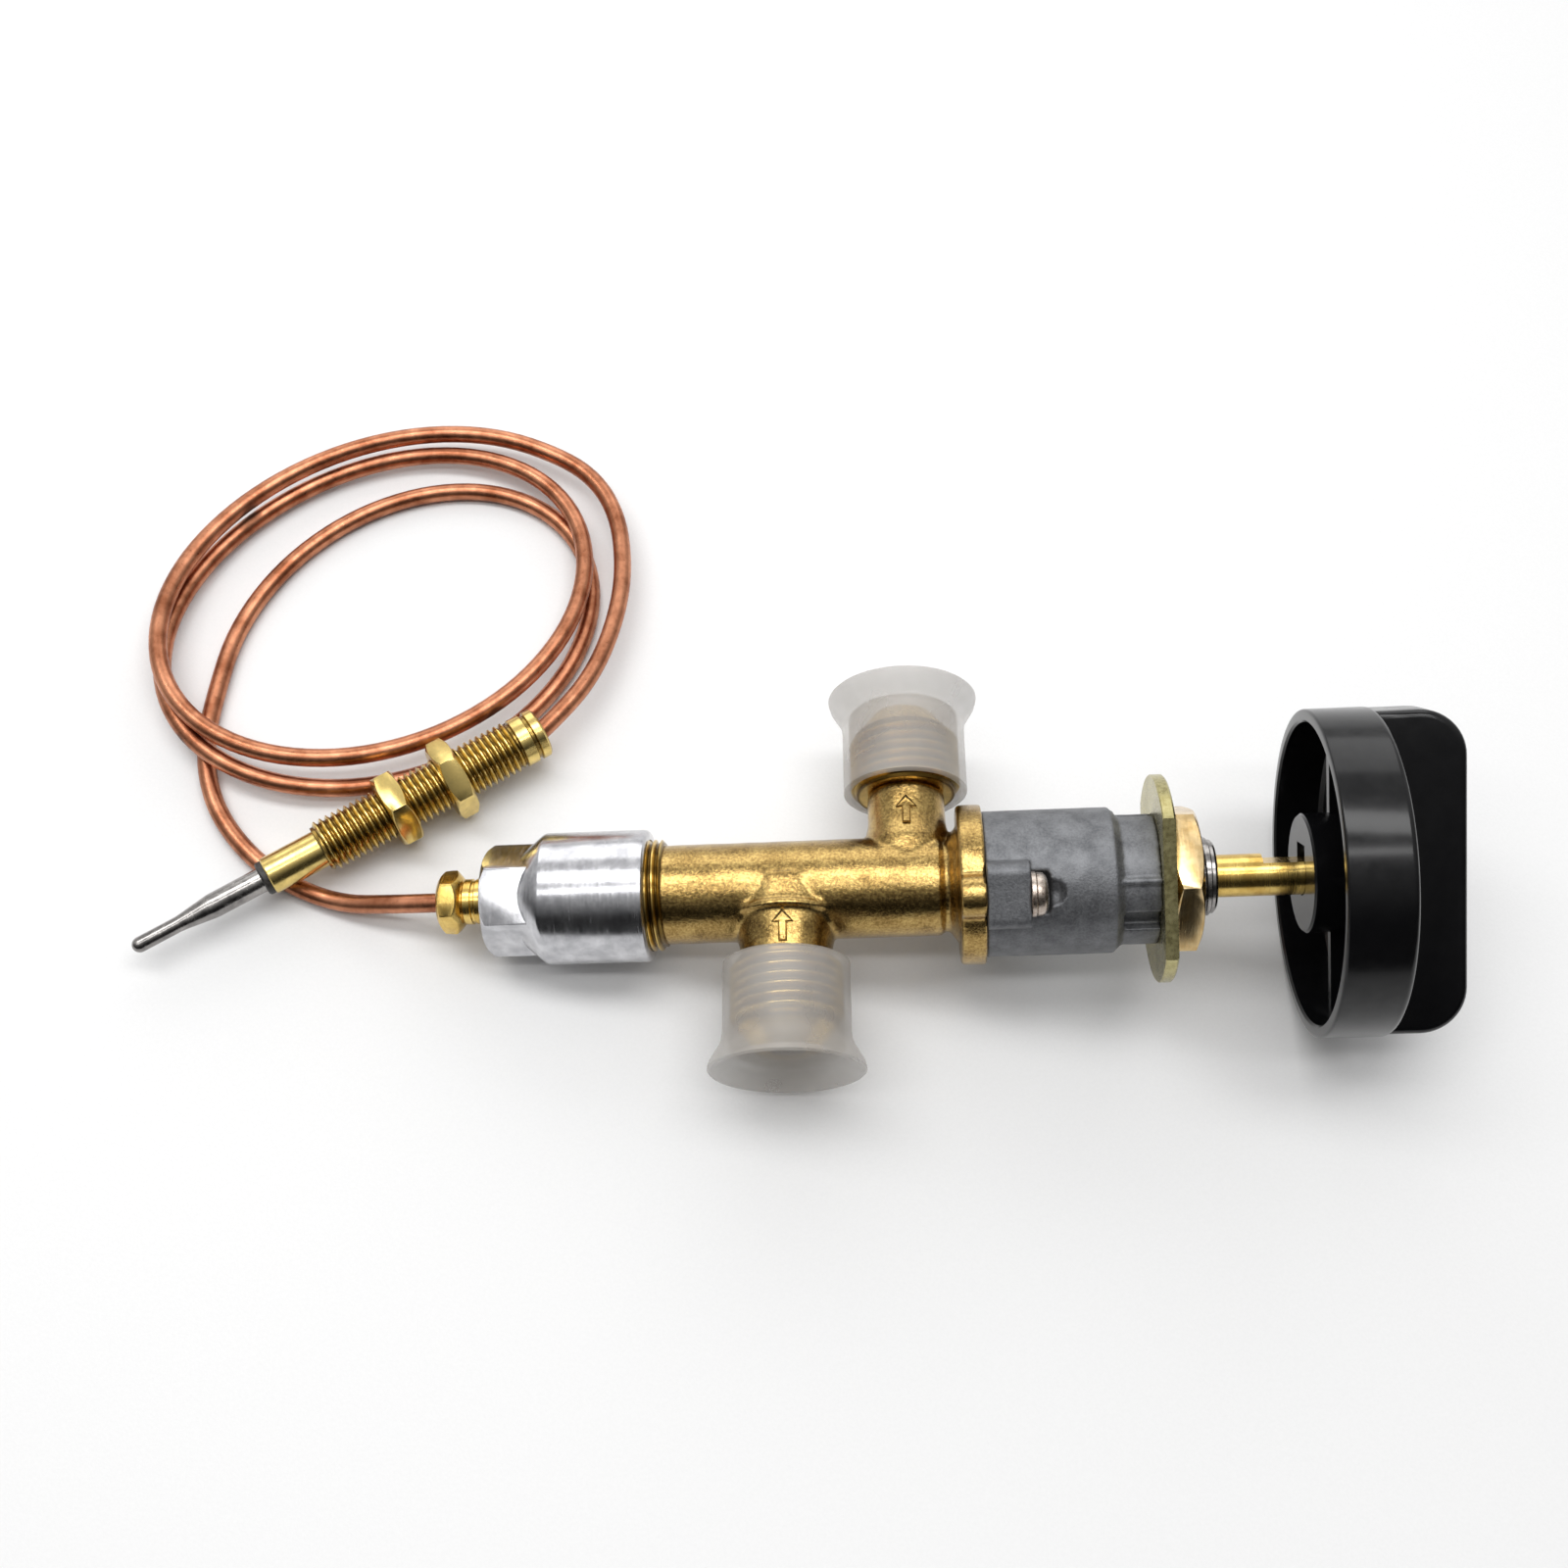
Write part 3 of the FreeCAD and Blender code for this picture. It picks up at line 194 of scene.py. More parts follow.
def thread(radius, pitch, start, end, depth=None, lead=0.5, steps=56):
    depth = depth or 0.6 * pitch
    root = radius - depth
    bm = bmesh.new()
    turns = int((end - start) / pitch) + 3
    verts = []
    for i in range(turns):
        x = start - 2 * pitch + i * pitch
        for share, r in ((0, root), (0.1, root), (0.46, radius), (0.6, radius)):
            verts.append(bm.verts.new((x + share * pitch, r, 0)))
    edges = [bm.edges.new(pair) for pair in zip(verts, verts[1:])]
    bmesh.ops.spin(bm, geom=verts + edges, cent=(0, 0, 0), axis=(1, 0, 0), dvec=(pitch / steps, 0, 0),
                   angle=2 * math.pi, steps=steps, use_merge=False)
    bmesh.ops.remove_doubles(bm, verts=bm.verts, dist=1e-3)
    for place, side in ((start, -1), (end, 1)):
        geom = list(bm.verts) + list(bm.edges) + list(bm.faces)
        bmesh.ops.bisect_plane(bm, geom=geom, plane_co=(place, 0, 0), plane_no=(side, 0, 0), clear_outer=True)
    for v in bm.verts:  # the run-in chamfer at both ends
        limit = radius - depth + max(0, min(v.co.x - start, end - v.co.x)) * depth / lead
        reach = math.hypot(v.co.y, v.co.z)
        if reach > limit:
            v.co.y *= limit / reach
            v.co.z *= limit / reach
    rims = [e for e in bm.edges if e.is_boundary]
    bmesh.ops.holes_fill(bm, edges=rims, sides=0)
    bmesh.ops.recalc_face_normals(bm, faces=bm.faces)
    return bm


def place(bm, name, finish, slotName, body, *replaced, pose=None, sharp=38):
    if pose:
        bmesh.ops.transform(bm, matrix=pose, verts=bm.verts)
    bmesh.ops.scale(bm, verts=bm.verts, vec=(0.001, 0.001, 0.001))
    limit = math.radians(sharp)
    for face in bm.faces:
        face.smooth = True
    for edge in bm.edges:
        edge.smooth = len(edge.link_faces) != 2 or edge.calc_face_angle() < limit
    mesh = bpy.data.meshes.new(name)
    bm.to_mesh(mesh)
    bm.free()
    piece = bpy.data.objects.new(name, mesh)
    bpy.context.scene.collection.objects.link(piece)
    mesh.materials.append(finish)
    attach(piece, body)
    if replaced:
        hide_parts(*replaced)
    return piece


# A socket that takes + and * in shader expressions.

class Value:
    def __init__(self, maker, socket):
        self.maker = maker
        self.socket = socket

    def __add__(self, other):
        return self.maker.maths("ADD", self, other)

    def __mul__(self, other):
        return self.maker.maths("MULTIPLY", self, other)


class Finish:
    def __init__(self, name, **values):
        self.material = bpy.data.materials.new(name)
        self.material.use_nodes = True
        self.tree = self.material.node_tree
        self.shader = self.tree.nodes["Principled BSDF"]
        self.fill(self.shader, values)
        self.place = self.node("ShaderNodeTexCoord")["Object"]

    def fill(self, node, values):
        for name, value in values.items():
            socket = node.inputs[name if isinstance(name, int) else name.replace("_", " ")]
            if isinstance(value, Value):
                self.tree.links.new(value.socket, socket)
            else:
                socket.default_value = value

    def node(self, kind, settings=None, **values):
        made = self.tree.nodes.new(kind)
        for name, value in (settings or {}).items():
            if name == "stops":
                ramp = made.color_ramp
                while len(ramp.elements) < len(value):
                    ramp.elements.new(0.5)
                for element, (position, colour) in zip(ramp.elements, value):
                    element.position = position
                    element.color = (*colour, 1)
            else:
                setattr(made, name, value)
        self.fill(made, values)
        return {socket.name: Value(self, socket) for socket in made.outputs if socket.enabled}

    def maths(self, operation, first, second):
        made = self.tree.nodes.new("ShaderNodeMath")
        made.operation = operation
        self.fill(made, {0: first, 1: second})
        return Value(self, made.outputs[0])

    def fromLine(self, start, end):  # metres from the line through two points
        line = (Vector(end) - Vector(start)).normalized()
        away = self.vectorMaths("SUBTRACT", self.place, Vector(start) / 1000)
        return self.vectorMaths("LENGTH", self.vectorMaths("CROSS_PRODUCT", away, line))

    def vectorMaths(self, operation, first, second=(0, 0, 0)):
        made = self.tree.nodes.new("ShaderNodeVectorMath")
        made.operation = operation
        self.fill(made, {0: first, 1: second})
        return Value(self, next(s for s in made.outputs if s.enabled))

    def stretched(self, x=1.0, y=1.0, z=1.0):
        return self.node("ShaderNodeMapping", Vector=self.place, Scale=(x, y, z))["Vector"]

    def grain(self, scale, detail=4.0, roughness=0.55, vector=None):
        made = self.node("ShaderNodeTexNoise", Vector=vector or self.place, Scale=scale, Detail=detail,
                         Roughness=roughness)
        return made["Fac"] if "Fac" in made else made["Factor"]

    def ramp(self, value, *stops):
        return self.node("ShaderNodeValToRGB", {"stops": stops}, Fac=value)["Color"]

    def between(self, value, low, high, first=0.0, last=1.0):
        return self.node("ShaderNodeMapRange", {"clamp": True}, Value=value, From_Min=low, From_Max=high,
                         To_Min=first, To_Max=last)["Result"]

    def blend(self, factor, first, second):
        made = self.tree.nodes.new("ShaderNodeMix")
        made.data_type = "RGBA"
        sockets = [s for s in made.inputs if s.enabled]
        for socket, value in zip(sockets, (factor, first, second)):
            if isinstance(value, Value):
                self.tree.links.new(value.socket, socket)
            else:
                socket.default_value = (*value[:3], 1) if isinstance(value, tuple) else value
        return Value(self, [s for s in made.outputs if s.enabled][0])

    def bump(self, height, distance, strength):
        return self.node("ShaderNodeBump", Height=height, Distance=distance, Strength=strength)["Normal"]

    def surface(self, **values):
        self.fill(self.shader, values)
        return self.material


# The camera stands over the inlet side and looks down and forward.
view = {"place": (-34.58, -92.30, 232.62), "turn": (25.058, 4.464, -0.352), "lens": 40.16, "sensor": 36}
camera = bpy.data.objects.new("camera", bpy.data.cameras.new("camera"))
bpy.context.scene.collection.objects.link(camera)
camera.location = Vector(view["place"]) / 1000
camera.rotation_euler = [math.radians(a) for a in view["turn"]]
camera.data.lens = view["lens"]
camera.data.sensor_width = view["sensor"]
camera.data.clip_start = 0.005
camera.data.clip_end = 20
bpy.context.scene.camera = camera

# The bench that the cap nut and the knob's rim lie on.
bench = {"slope": -0.1253, "height": -9.5, "at": -86.3, "half": 1400, "middle": (-50, 20)}
benchUp = Vector((0.1244, 0, 0.9922))


def benchHeight(x):
    return bench["height"] + bench["slope"] * (x - bench["at"])


# Finishes
brass = {"deep": (0.055, 0.028, 0.010), "body": (0.32, 0.205, 0.068), "light": (0.62, 0.44, 0.16)}


def forgedBrass():
    f = Finish("forgedBrass", Metallic=1.0, IOR=1.5)
    cloud = f.grain(330, 3.0, 0.6)
    grit = f.grain(2400, 4.0, 0.7)
    pits = f.grain(950, 3.0, 0.6)
    colour = f.ramp(cloud * 0.35 + grit * 0.65, (0.26, brass["deep"]), (0.45, brass["body"]),
                    (0.66, brass["light"]))
    rough = f.between(grit, 0.3, 0.7, 0.15, 0.27)
    height = grit * 0.8 + pits * 0.5
    return f.surface(Base_Color=colour, Roughness=rough, Normal=f.bump(height, 0.000065, 0.8))


# Lathe lines run round X.
def turnedBrass(name, light, dark, low, high, depth=0.00001, lines=7000):
    f = Finish(name, Metallic=1.0)
    rings = f.grain(1.0, 2.0, 0.6, f.stretched(lines, 260, 260))
    stain = f.grain(420, 3.0, 0.6)
    colour = f.blend(f.between(stain, 0.36, 0.68), dark, light)
    return f.surface(Base_Color=colour, Roughness=f.between(rings, 0.25, 0.75, low, high),
                     Normal=f.bump(rings, depth, 0.4))


def threadedBrass(name, start, end, root, crest, light, dark):  # painted shade: the valleys of a thread are painted in the dark colour
    f = Finish(name, Metallic=1.0)
    radius = f.fromLine(start, end) * 1000
    stain = f.grain(500, 3.0, 0.6)
    # painted shade: where this mask is 0, in the thread's valleys, the dark colour is painted in place of
    # shade
    cleanAndUnshaded = f.between(radius, root + 0.05, crest - 0.1) + f.between(radius, root - 0.5, root - 0.2, 1.0, 0.0)
    worn = f.blend(f.between(stain, 0.36, 0.68), light, tuple(0.72 * c for c in light))
    colour = f.blend(cleanAndUnshaded, dark, worn)
    return f.surface(Base_Color=colour, Roughness=f.between(stain, 0.3, 0.7, 0.17, 0.28))


def grainyMetal(name, dark, light, low, high, size, depth, metal=1.0):
    f = Finish(name, Metallic=metal)
    cloud = f.grain(size * 0.13, 3.0, 0.6)
    grit = f.grain(size, 4.0, 0.65)
    colour = f.blend(f.between(cloud * 0.5 + grit * 0.5, 0.36, 0.64), dark, light)
    return f.surface(Base_Color=colour, Roughness=f.between(grit, 0.3, 0.7, low, high),
                     Normal=f.bump(grit, depth, 0.7))


def drawnCopper():
    f = Finish("drawnCopper", Metallic=1.0)
    cloud = f.grain(210, 4.0, 0.65)
    fine = f.grain(1500, 3.0, 0.6)
    patches = f.between(f.grain(95, 2.0, 0.5), 0.66, 0.74)
    cleanAndUnshaded = f.blend(f.between(cloud, 0.35, 0.65), (0.30, 0.105, 0.050), (0.62, 0.27, 0.15))
    colour = f.blend(patches * 0.75, cleanAndUnshaded, (0.045, 0.022, 0.014))
    return f.surface(Base_Color=colour, Roughness=f.between(fine, 0.3, 0.7, 0.27, 0.42) + patches * 0.15,
                     Normal=f.bump(cloud * 0.6 + fine * 0.4, 0.000015, 0.5))


def mouldedBlack():
    f = Finish("mouldedBlack", IOR=1.45, Specular_IOR_Level=0.3, Coat_Roughness=0.12)
    haze = f.grain(420, 3.0, 0.6)
    dust = f.between(f.grain(5200, 2.0, 0.6), 0.72, 0.8)
    colour = f.blend(dust * 0.35, (0.0035, 0.0035, 0.004), (0.04, 0.04, 0.04))
    return f.surface(Base_Color=colour, Roughness=f.between(haze, 0.3, 0.7, 0.16, 0.26),
                     Coat_Weight=f.between(haze, 0.3, 0.7, 0.12, 0.25), Normal=f.bump(haze, 0.00002, 0.25))


def milkyPlastic():
    f = Finish("milkyPlastic", IOR=1.5)
    cloud = f.grain(120, 2.0, 0.5)
    fine = f.grain(1900, 2.0, 0.5)
    colour = f.blend(f.between(cloud, 0.2, 0.8), (0.47, 0.43, 0.39), (0.57, 0.55, 0.51))
    return f.surface(Base_Color=colour, Roughness=f.between(fine, 0.3, 0.7, 0.30, 0.42),
                     Alpha=f.between(cloud, 0.2, 0.8, 0.38, 0.44), Normal=f.bump(fine, 0.00002, 0.4))


def softSolid(name, dark, light, low, high):
    f = Finish(name)
    grit = f.grain(2400, 3.0, 0.6)
    colour = f.blend(f.between(grit, 0.35, 0.65), dark, light)
    return f.surface(Base_Color=colour, Roughness=f.between(grit, 0.3, 0.7, low, high),
                     Normal=f.bump(grit, 0.00003, 0.5))


finishes = {
    "brass_forged": forgedBrass(),
    "brass_turned": turnedBrass("turnedBrass", (0.83, 0.60, 0.19), (0.56, 0.36, 0.09), 0.16, 0.30),
    "zinc_cast": grainyMetal("castZinc", (0.105, 0.108, 0.115), (0.23, 0.235, 0.245), 0.42, 0.60, 3000,
                             0.00008, 0.75),
    "zinc_yellow": grainyMetal("yellowZinc", (0.30, 0.26, 0.11), (0.54, 0.49, 0.25), 0.22, 0.34, 1400,
                               0.00001),
    "nut_gold": turnedBrass("paleGold", (0.86, 0.67, 0.38), (0.62, 0.42, 0.18), 0.14, 0.28),
    "aluminium_bright": turnedBrass("brightAluminium", (0.66, 0.66, 0.68), (0.45, 0.45, 0.47), 0.14, 0.28,
                                    0.000003, 4000),
    "steel_bright": grainyMetal("brightSteel", (0.20, 0.19, 0.185), (0.46, 0.44, 0.42), 0.16, 0.30, 900,
                                0.000003),
    "screw_steel": grainyMetal("screwSteel", (0.30, 0.22, 0.17), (0.62, 0.56, 0.50), 0.22, 0.38, 2200,
                               0.00002),
    "spring_steel": grainyMetal("springSteel", (0.26, 0.26, 0.27), (0.45, 0.45, 0.46), 0.22, 0.35, 2200,
                                0.00002),
    "core_iron": grainyMetal("coreIron", (0.12, 0.12, 0.13), (0.24, 0.24, 0.25), 0.35, 0.55, 2400, 0.00004),
    "copper_lead": drawnCopper(),
    "winding_copper": grainyMetal("windingCopper", (0.42, 0.15, 0.07), (0.66, 0.30, 0.16), 0.25, 0.4, 3200,
                                  0.00006),
    "rubber_black": softSolid("blackRubber", (0.008, 0.008, 0.008), (0.022, 0.022, 0.022), 0.55, 0.75),
    "knob_plastic": mouldedBlack(),
    "cap_plastic": milkyPlastic(),
    "insulator": softSolid("darkInsulator", (0.010, 0.009, 0.008), (0.035, 0.030, 0.026), 0.35, 0.55),
}
for part in frame["record"]["subparts"]:
    mesh = nodes[part["node"]].data
    mesh.materials.clear()
    mesh.materials.append(finishes[part["material_slot"]])
print("finishes made:", len(finishes))

# The lead, from the union nut through its loose turns to the hot end.
leadRun = {
    "from nut": [(-102, 0, 0), (-110, 0.5, -1.3), (-118.5, 1.8, -3.7), (-126.5, 5, -3), (-133, 9.9, -2.2),
                 (-138, 16.2, -1.6), (-140.6, 22.7, -1.3), (-141.5, 29.3, -1.2)],
    "to sleeve": [(-82.6, 75.2, -5.0), (-79.4, 68.5, -5.3), (-78.3, 61, -5.4), (-78.4, 54, -5.4),
                  (-79.8, 46.5, -5), (-82, 39.8, -4.4), (-85.3, 33.8, -3.6), (-89.5, 28.7, -2.8)],
    "diameter": 2.8,
    "length": 580,
}
turns = {
    "half long": 35.0, "half short": 27.9, "oval turned": 34.9, "starts at": 188.9,
    "centre x": (-106.9, -115.2, -117.0, -116.5, -117.8, -111.8, -102.4),  # one for each half turn
    "centre y": (40.2, 47.1, 50.5, 52.2, 54.2, 55.1, 55.1),
    # over the bench, one for each quarter turn
    "rises": (1.4, 1.4, 1.4, 1.4, 4.3, 1.7, 4.0, 4.2, 6.3, 4.6, 4.8, 5.2),
    "points a turn": 16, "first": 0.11, "last": 2.5,
}


def along(values, place):  # a smooth line through evenly spaced values
    i = min(max(int(place), 0), len(values) - 2)
    t = place - i
    a, b, c, d = (values[min(max(i + k, 0), len(values) - 1)] for k in (-1, 0, 1, 2))
    square = 2 * a - 5 * b + 4 * c - d
    cube = 3 * b - a - 3 * c + d
    return 0.5 * (2 * b + (c - a) * t + square * t * t + cube * t ** 3)


def turnPoint(place):
    spin = math.radians(turns["starts at"] - 360 * place)
    lie = math.radians(turns["oval turned"])
    u, v = turns["half long"] * math.cos(spin), turns["half short"] * math.sin(spin)
    x = along(turns["centre x"], 2 * place) + u * math.cos(lie) - v * math.sin(lie)
    y = along(turns["centre y"], 2 * place) + u * math.sin(lie) + v * math.cos(lie)
    return x, y, benchHeight(x) + along(turns["rises"], 4 * place) * 1.008


leadPoints = list(leadRun["from nut"])
stops = int((turns["last"] - turns["first"]) * turns["points a turn"]) + 1
for i in range(stops):
    leadPoints.append(turnPoint(turns["first"] + i / turns["points a turn"]))
leadPoints += leadRun["to sleeve"]

curve = bpy.data.curves.new("lead", "CURVE")
curve.dimensions = "3D"
spline = curve.splines.new("NURBS")
spline.points.add(len(leadPoints) - 1)
for point, spot in zip(spline.points, leadPoints):
    point.co = (*(Vector(spot) / 1000), 1)
spline.order_u = 3
spline.use_endpoint_u = True
spline.resolution_u = 6
curve.bevel_depth = leadRun["diameter"] / 2000
curve.bevel_resolution = 5
curve.use_fill_caps = True
curve.materials.append(finishes["copper_lead"])
lead = bpy.data.objects.new("lead", curve)
bpy.context.scene.collection.objects.link(lead)
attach(lead, "valve")
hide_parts("lead_start", "lead_coil", "lead_end")
print("lead laid with", len(leadPoints), "points")

# The forged body: barrel, flange with its two ears, necks, bores.
body = {
    "barrel": 7.1, "barrelFrom": -69.6, "flange": 11.35, "flangeFrom": -27.4, "joint": -23.8, "ear": 3.0,
    "earAt": 11.0, "lean": 30, "inletAt": -51.9, "outletAt": -34.3, "inletNeck": 6.5, "outletNeck": 5.6,
    "inletReach": 10.8, "outletReach": 14.2, "chamber": 5.75, "unevenness": 0.05, "voxel": 0.31, "rounds": 5,
}


def towardsPort(bm, at, side):  # from along X to along -Y or +Y at that station
    return shift(turn(bm, 90 * side, "Z"), at, 0, 0)


b = body
shells = [lathe([(b["barrelFrom"], 0), (b["barrelFrom"], b["barrel"]), (-29.9, b["barrel"]), (-29.5, 6.5),
                 (-28.7, 6.5), (-28.2, 7.4), (b["flangeFrom"], 8.4),
                 (b["flangeFrom"], b["flange"] - 0.3), (-27.1, b["flange"]),
                 (b["joint"], b["flange"]), (b["joint"], 0)])]
for side in (1, -1):
    ear = lathe([(b["flangeFrom"], 0), (b["flangeFrom"], b["ear"]), (b["joint"], b["ear"]),
                 (b["joint"], 0)], 40)
    web = block((b["flangeFrom"], -b["ear"], 6), (b["joint"], b["ear"], b["earAt"]))
    shells.append(turn(turn(joined(shift(ear, 0, 0, b["earAt"]), web), 90 - 90 * side, "X"), b["lean"], "X"))
shells.append(towardsPort(lathe([(0, 0), (0, 7.6), (3.5, 7.6), (7.2, 6.9), (9.2, b["inletNeck"]),
                                 (b["inletReach"], b["inletNeck"]), (b["inletReach"], 0)]), b["inletAt"], -1))
shells.append(towardsPort(lathe([(0, 0), (0, 6.6), (5.5, 6.6), (8.0, 5.9), (9.5, b["outletNeck"]),
                                 (b["outletReach"], b["outletNeck"]), (b["outletReach"], 0)]),
                          b["outletAt"], 1))
footRidge = lathe([(4.1, 5.5), (4.1, 8.1), (5.0, 8.1), (5.0, 5.5)], closed=True)
shells.append(towardsPort(footRidge, b["inletAt"], -1))
chamber = [(-82, 0), (-82, b["chamber"]), (-47, b["chamber"]), (-47, 3.2)]
plugSeat = [(-44, 3.2), (-44, 4.0), (-23.7, 5.3), (-23.7, 0)]
tools = [lathe(chamber + plugSeat, 64)]
for at, side, reach in ((b["inletAt"], -1, b["inletReach"]), (b["outletAt"], 1, b["outletReach"])):
    tools.append(towardsPort(lathe([(2, 0), (2, 2.5), (reach + 1, 2.5), (reach + 1, 0)], 40), at, side))
casting = cast(cut(joined(*shells), *tools), b["voxel"], b["rounds"])
for v in casting.verts:  # the slight unevenness of a tumbled forging
    v.co += v.normal * b["unevenness"] * noise.noise(v.co * 0.35)


arrows = {"head": 1.55, "shaft": 0.62, "barb": 1.75, "line": 0.3, "height": 0.62, "sunk": 0.2}


# A raised arrow outline that follows the neck; flare is (place along Y, radius).
def arrow(at, flare, low, high):
    a = arrows
    outer = [(-a["shaft"], low), (-a["shaft"], high - a["barb"]), (-a["head"], high - a["barb"]), (0, high),
             (a["head"], high - a["barb"]), (a["shaft"], high - a["barb"]), (a["shaft"], low)]
    bm = prism(outer, 0, a["height"], upright=True)
    top = max(bm.faces, key=lambda face: face.calc_center_median().z)
    bmesh.ops.inset_region(bm, faces=[top], thickness=a["line"], depth=0)
    bmesh.ops.translate(bm, verts=top.verts, vec=(0, 0, a["sunk"] - a["height"] + 0.08))
    soften(bm, 0.08, 2, 40)
    for v in bm.verts:
        spans = zip(flare, flare[1:])
        (y0, r0), (y1, r1) = next((p, q) for p, q in spans if v.co.y <= q[0] or q is flare[-1])
        radius = r0 + (r1 - r0) * (v.co.y - y0) / (y1 - y0)
        v.co.z += math.sqrt(radius * radius - v.co.x * v.co.x) - a["sunk"]
    return shift(bm, at, 0, 0)


inletFlare = [(-10.8, 6.5), (-9.2, 6.5), (-7.2, 6.9), (-3.5, 7.6)]
outletFlare = [(5.5, 6.6), (8.0, 5.9), (9.5, 5.6), (14.2, 5.6)]
casting = together(casting, arrow(b["inletAt"], inletFlare, -9.9, -5.5),
                   arrow(b["outletAt"], outletFlare, 7.4, 11.8))
place(casting, "valve_body_forging", finishes["brass_forged"], "brass_forged", "valve", "valve_body",
      sharp=70)

ports = {
    "radius": 7.94, "pitch": 1.411, "length": 9.4, "cone": 3.4, "coneEnd": 4.5, "bore": 2.5,
    # the second colour is painted shade for the thread valleys
    "bright": (0.80, 0.56, 0.18), "valleyShade": (0.16, 0.095, 0.02), "valleyDepth": 0.85,
}
portPlaces = (("inlet", b["inletAt"], -1, b["inletReach"]), ("outlet", b["outletAt"], 1, b["outletReach"]))
for name, at, side, reach in portPlaces:
    end = reach + ports["length"]
    screw = thread(ports["radius"], ports["pitch"], reach, end, lead=0.9)
    nose = lathe([(end - 1, 0), (end - 1, 6.9), (end, 7.0), (end + ports["cone"] - 0.1, ports["coneEnd"]),
                  (end + ports["cone"], ports["coneEnd"] - 0.12), (end + ports["cone"], 0)])
    bore = lathe([(reach - 1, 0), (reach - 1, ports["bore"]), (end + ports["cone"] + 1, ports["bore"]),
                  (end + ports["cone"] + 1, 0)], 48)
    finish = threadedBrass(name + "Brass", (at, 0, 0), (at, 1, 0), ports["radius"] - ports["valleyDepth"],
                           ports["radius"], ports["bright"], ports["valleyShade"])
    place(towardsPort(cut(joined(screw, nose), bore), at, side), name + "_thread", finish, "brass_forged",
          "valve")
rearThread = {
    "radius": 8.0, "pitch": 1.0, "from": -81, "to": -69, "root": 7.4,
    # the second colour is painted shade for the thread valleys
    "bright": (0.74, 0.52, 0.17), "valleyShade": (0.14, 0.085, 0.02),
}
t = rearThread
rear = cut(thread(t["radius"], t["pitch"], t["from"], t["to"]),
           lathe([(-82, 0), (-82, b["chamber"]), (-68, b["chamber"]), (-68, 0)], 64))
rearBrass = threadedBrass("rearBrass", (0, 0, 0), (1, 0, 0), t["root"], t["radius"], t["bright"], t["valleyShade"])
place(rear, "rear_thread", rearBrass, "brass_forged", "valve")
print("valve body forged")

# The zinc housing: shell, two screw lugs, slotted neck, and the bush with its thread and nose.
housing = {
    "back": -23.8, "radius": 10.3, "neck": -5.1, "neckRadius": 9.2, "lugWidth": 9.0, "lugHeight": 13.2,
    "lugEnd": -17.9, "channel": 3.25, "channelEnd": -13.0, "scoop": 1.8, "cavity": 7.2, "wall": -7.0,
    "bush": 6.05, "slotHalf": 1.5, "slotDepth": 1.7, "slotsAt": (-62, 62, 118, -118), "stripHalf": 0.4,
    "bushEnd": 7.2, "nose": 5.2, "noseEnd": 8.3, "bore": 3.05, "voxel": 0.22, "rounds": 2,
}
h = housing
shells = [lathe([(h["back"], 0), (h["back"], h["radius"]), (h["neck"] - 1.0, h["radius"]),
                 (h["neck"], h["radius"] - 1.0), (h["neck"], h["neckRadius"]), (0, h["neckRadius"]),
                 (0, 0)], 128)]
tools = [lathe([(h["back"] - 1, 0), (h["back"] - 1, h["cavity"]), (h["wall"], h["cavity"]),
                (h["wall"], h["bore"]),
                (1, h["bore"]), (1, 0)], 64)]
for side in (0, 180):
    lug = block((h["back"], -h["lugWidth"] / 2, 6), (h["lugEnd"], h["lugWidth"] / 2, h["lugHeight"]))
    outer = [e for e in lug.edges if all(v.co.z > 10 for v in e.verts)]
    corners = [e for e in outer if abs(e.verts[0].co.y - e.verts[1].co.y) < 0.1
               and abs(e.verts[0].co.x - e.verts[1].co.x) > 1]
    bmesh.ops.bevel(lug, geom=corners, offset=1.4, affect="EDGES", segments=5, profile=0.5, material=-1)
    shells.append(turn(lug, b["lean"] + side, "X"))
    channel = lathe([(h["lugEnd"], 0), (h["lugEnd"], h["channel"]), (h["channelEnd"] - 2.3, h["channel"]),
                     (h["channelEnd"] - 2.0, h["scoop"] + 0.3), (h["channelEnd"] - 0.8, h["scoop"]),
                     (h["channelEnd"], h["scoop"] - 0.8), (h["channelEnd"], 0)], 48)
    tools.append(turn(shift(channel, 0, 0, b["earAt"]), b["lean"] + side, "X"))
for angle in h["slotsAt"]:
    slot = block((h["neck"], -h["slotHalf"], h["neckRadius"] - h["slotDepth"]),
                 (1, h["slotHalf"], h["neckRadius"] + 2))
    tools.append(turn(slot, angle, "X"))
for angle in (0, 90, 180, 270):  # raised strips along the neck, beside the slots
    strip = block((h["neck"] - 0.5, -h["stripHalf"], 8), (0, h["stripHalf"], h["neckRadius"] + 0.45))
    shells.append(turn(strip, angle + 24, "X"))
zinc = cast(cut(joined(*shells), *tools), h["voxel"], h["rounds"])
for v in zinc.verts:
    v.co += v.normal * 0.03 * noise.noise(v.co * 0.5)
    v.co.x = min(v.co.x, -0.02)
place(zinc, "front_housing_casting", finishes["zinc_cast"], "zinc_cast", "valve", "front_housing", sharp=60)
bushBore = lathe([(-3, 0), (-3, h["bore"]), (9, h["bore"]), (9, 0)], 48)
bush = cut(thread(h["bush"], 1.0, -0.5, h["bushEnd"]), bushBore)
place(bush, "bush_thread", finishes["steel_bright"], "zinc_cast", "valve")
nose = lathe([(h["bushEnd"] - 0.1, h["bore"]), (h["bushEnd"] - 0.1, 5.5), (h["bushEnd"] + 0.15, 5.5),
              (h["bushEnd"] + 0.35, h["nose"]), (h["noseEnd"] - 0.35, h["nose"]),
              (h["noseEnd"], h["nose"] - 0.35),
              (h["noseEnd"], 3.6), (h["noseEnd"] - 0.45, h["bore"])], 96, closed=True)
place(nose, "bush_nose", finishes["steel_bright"], "zinc_cast", "valve")
print("housing cast")

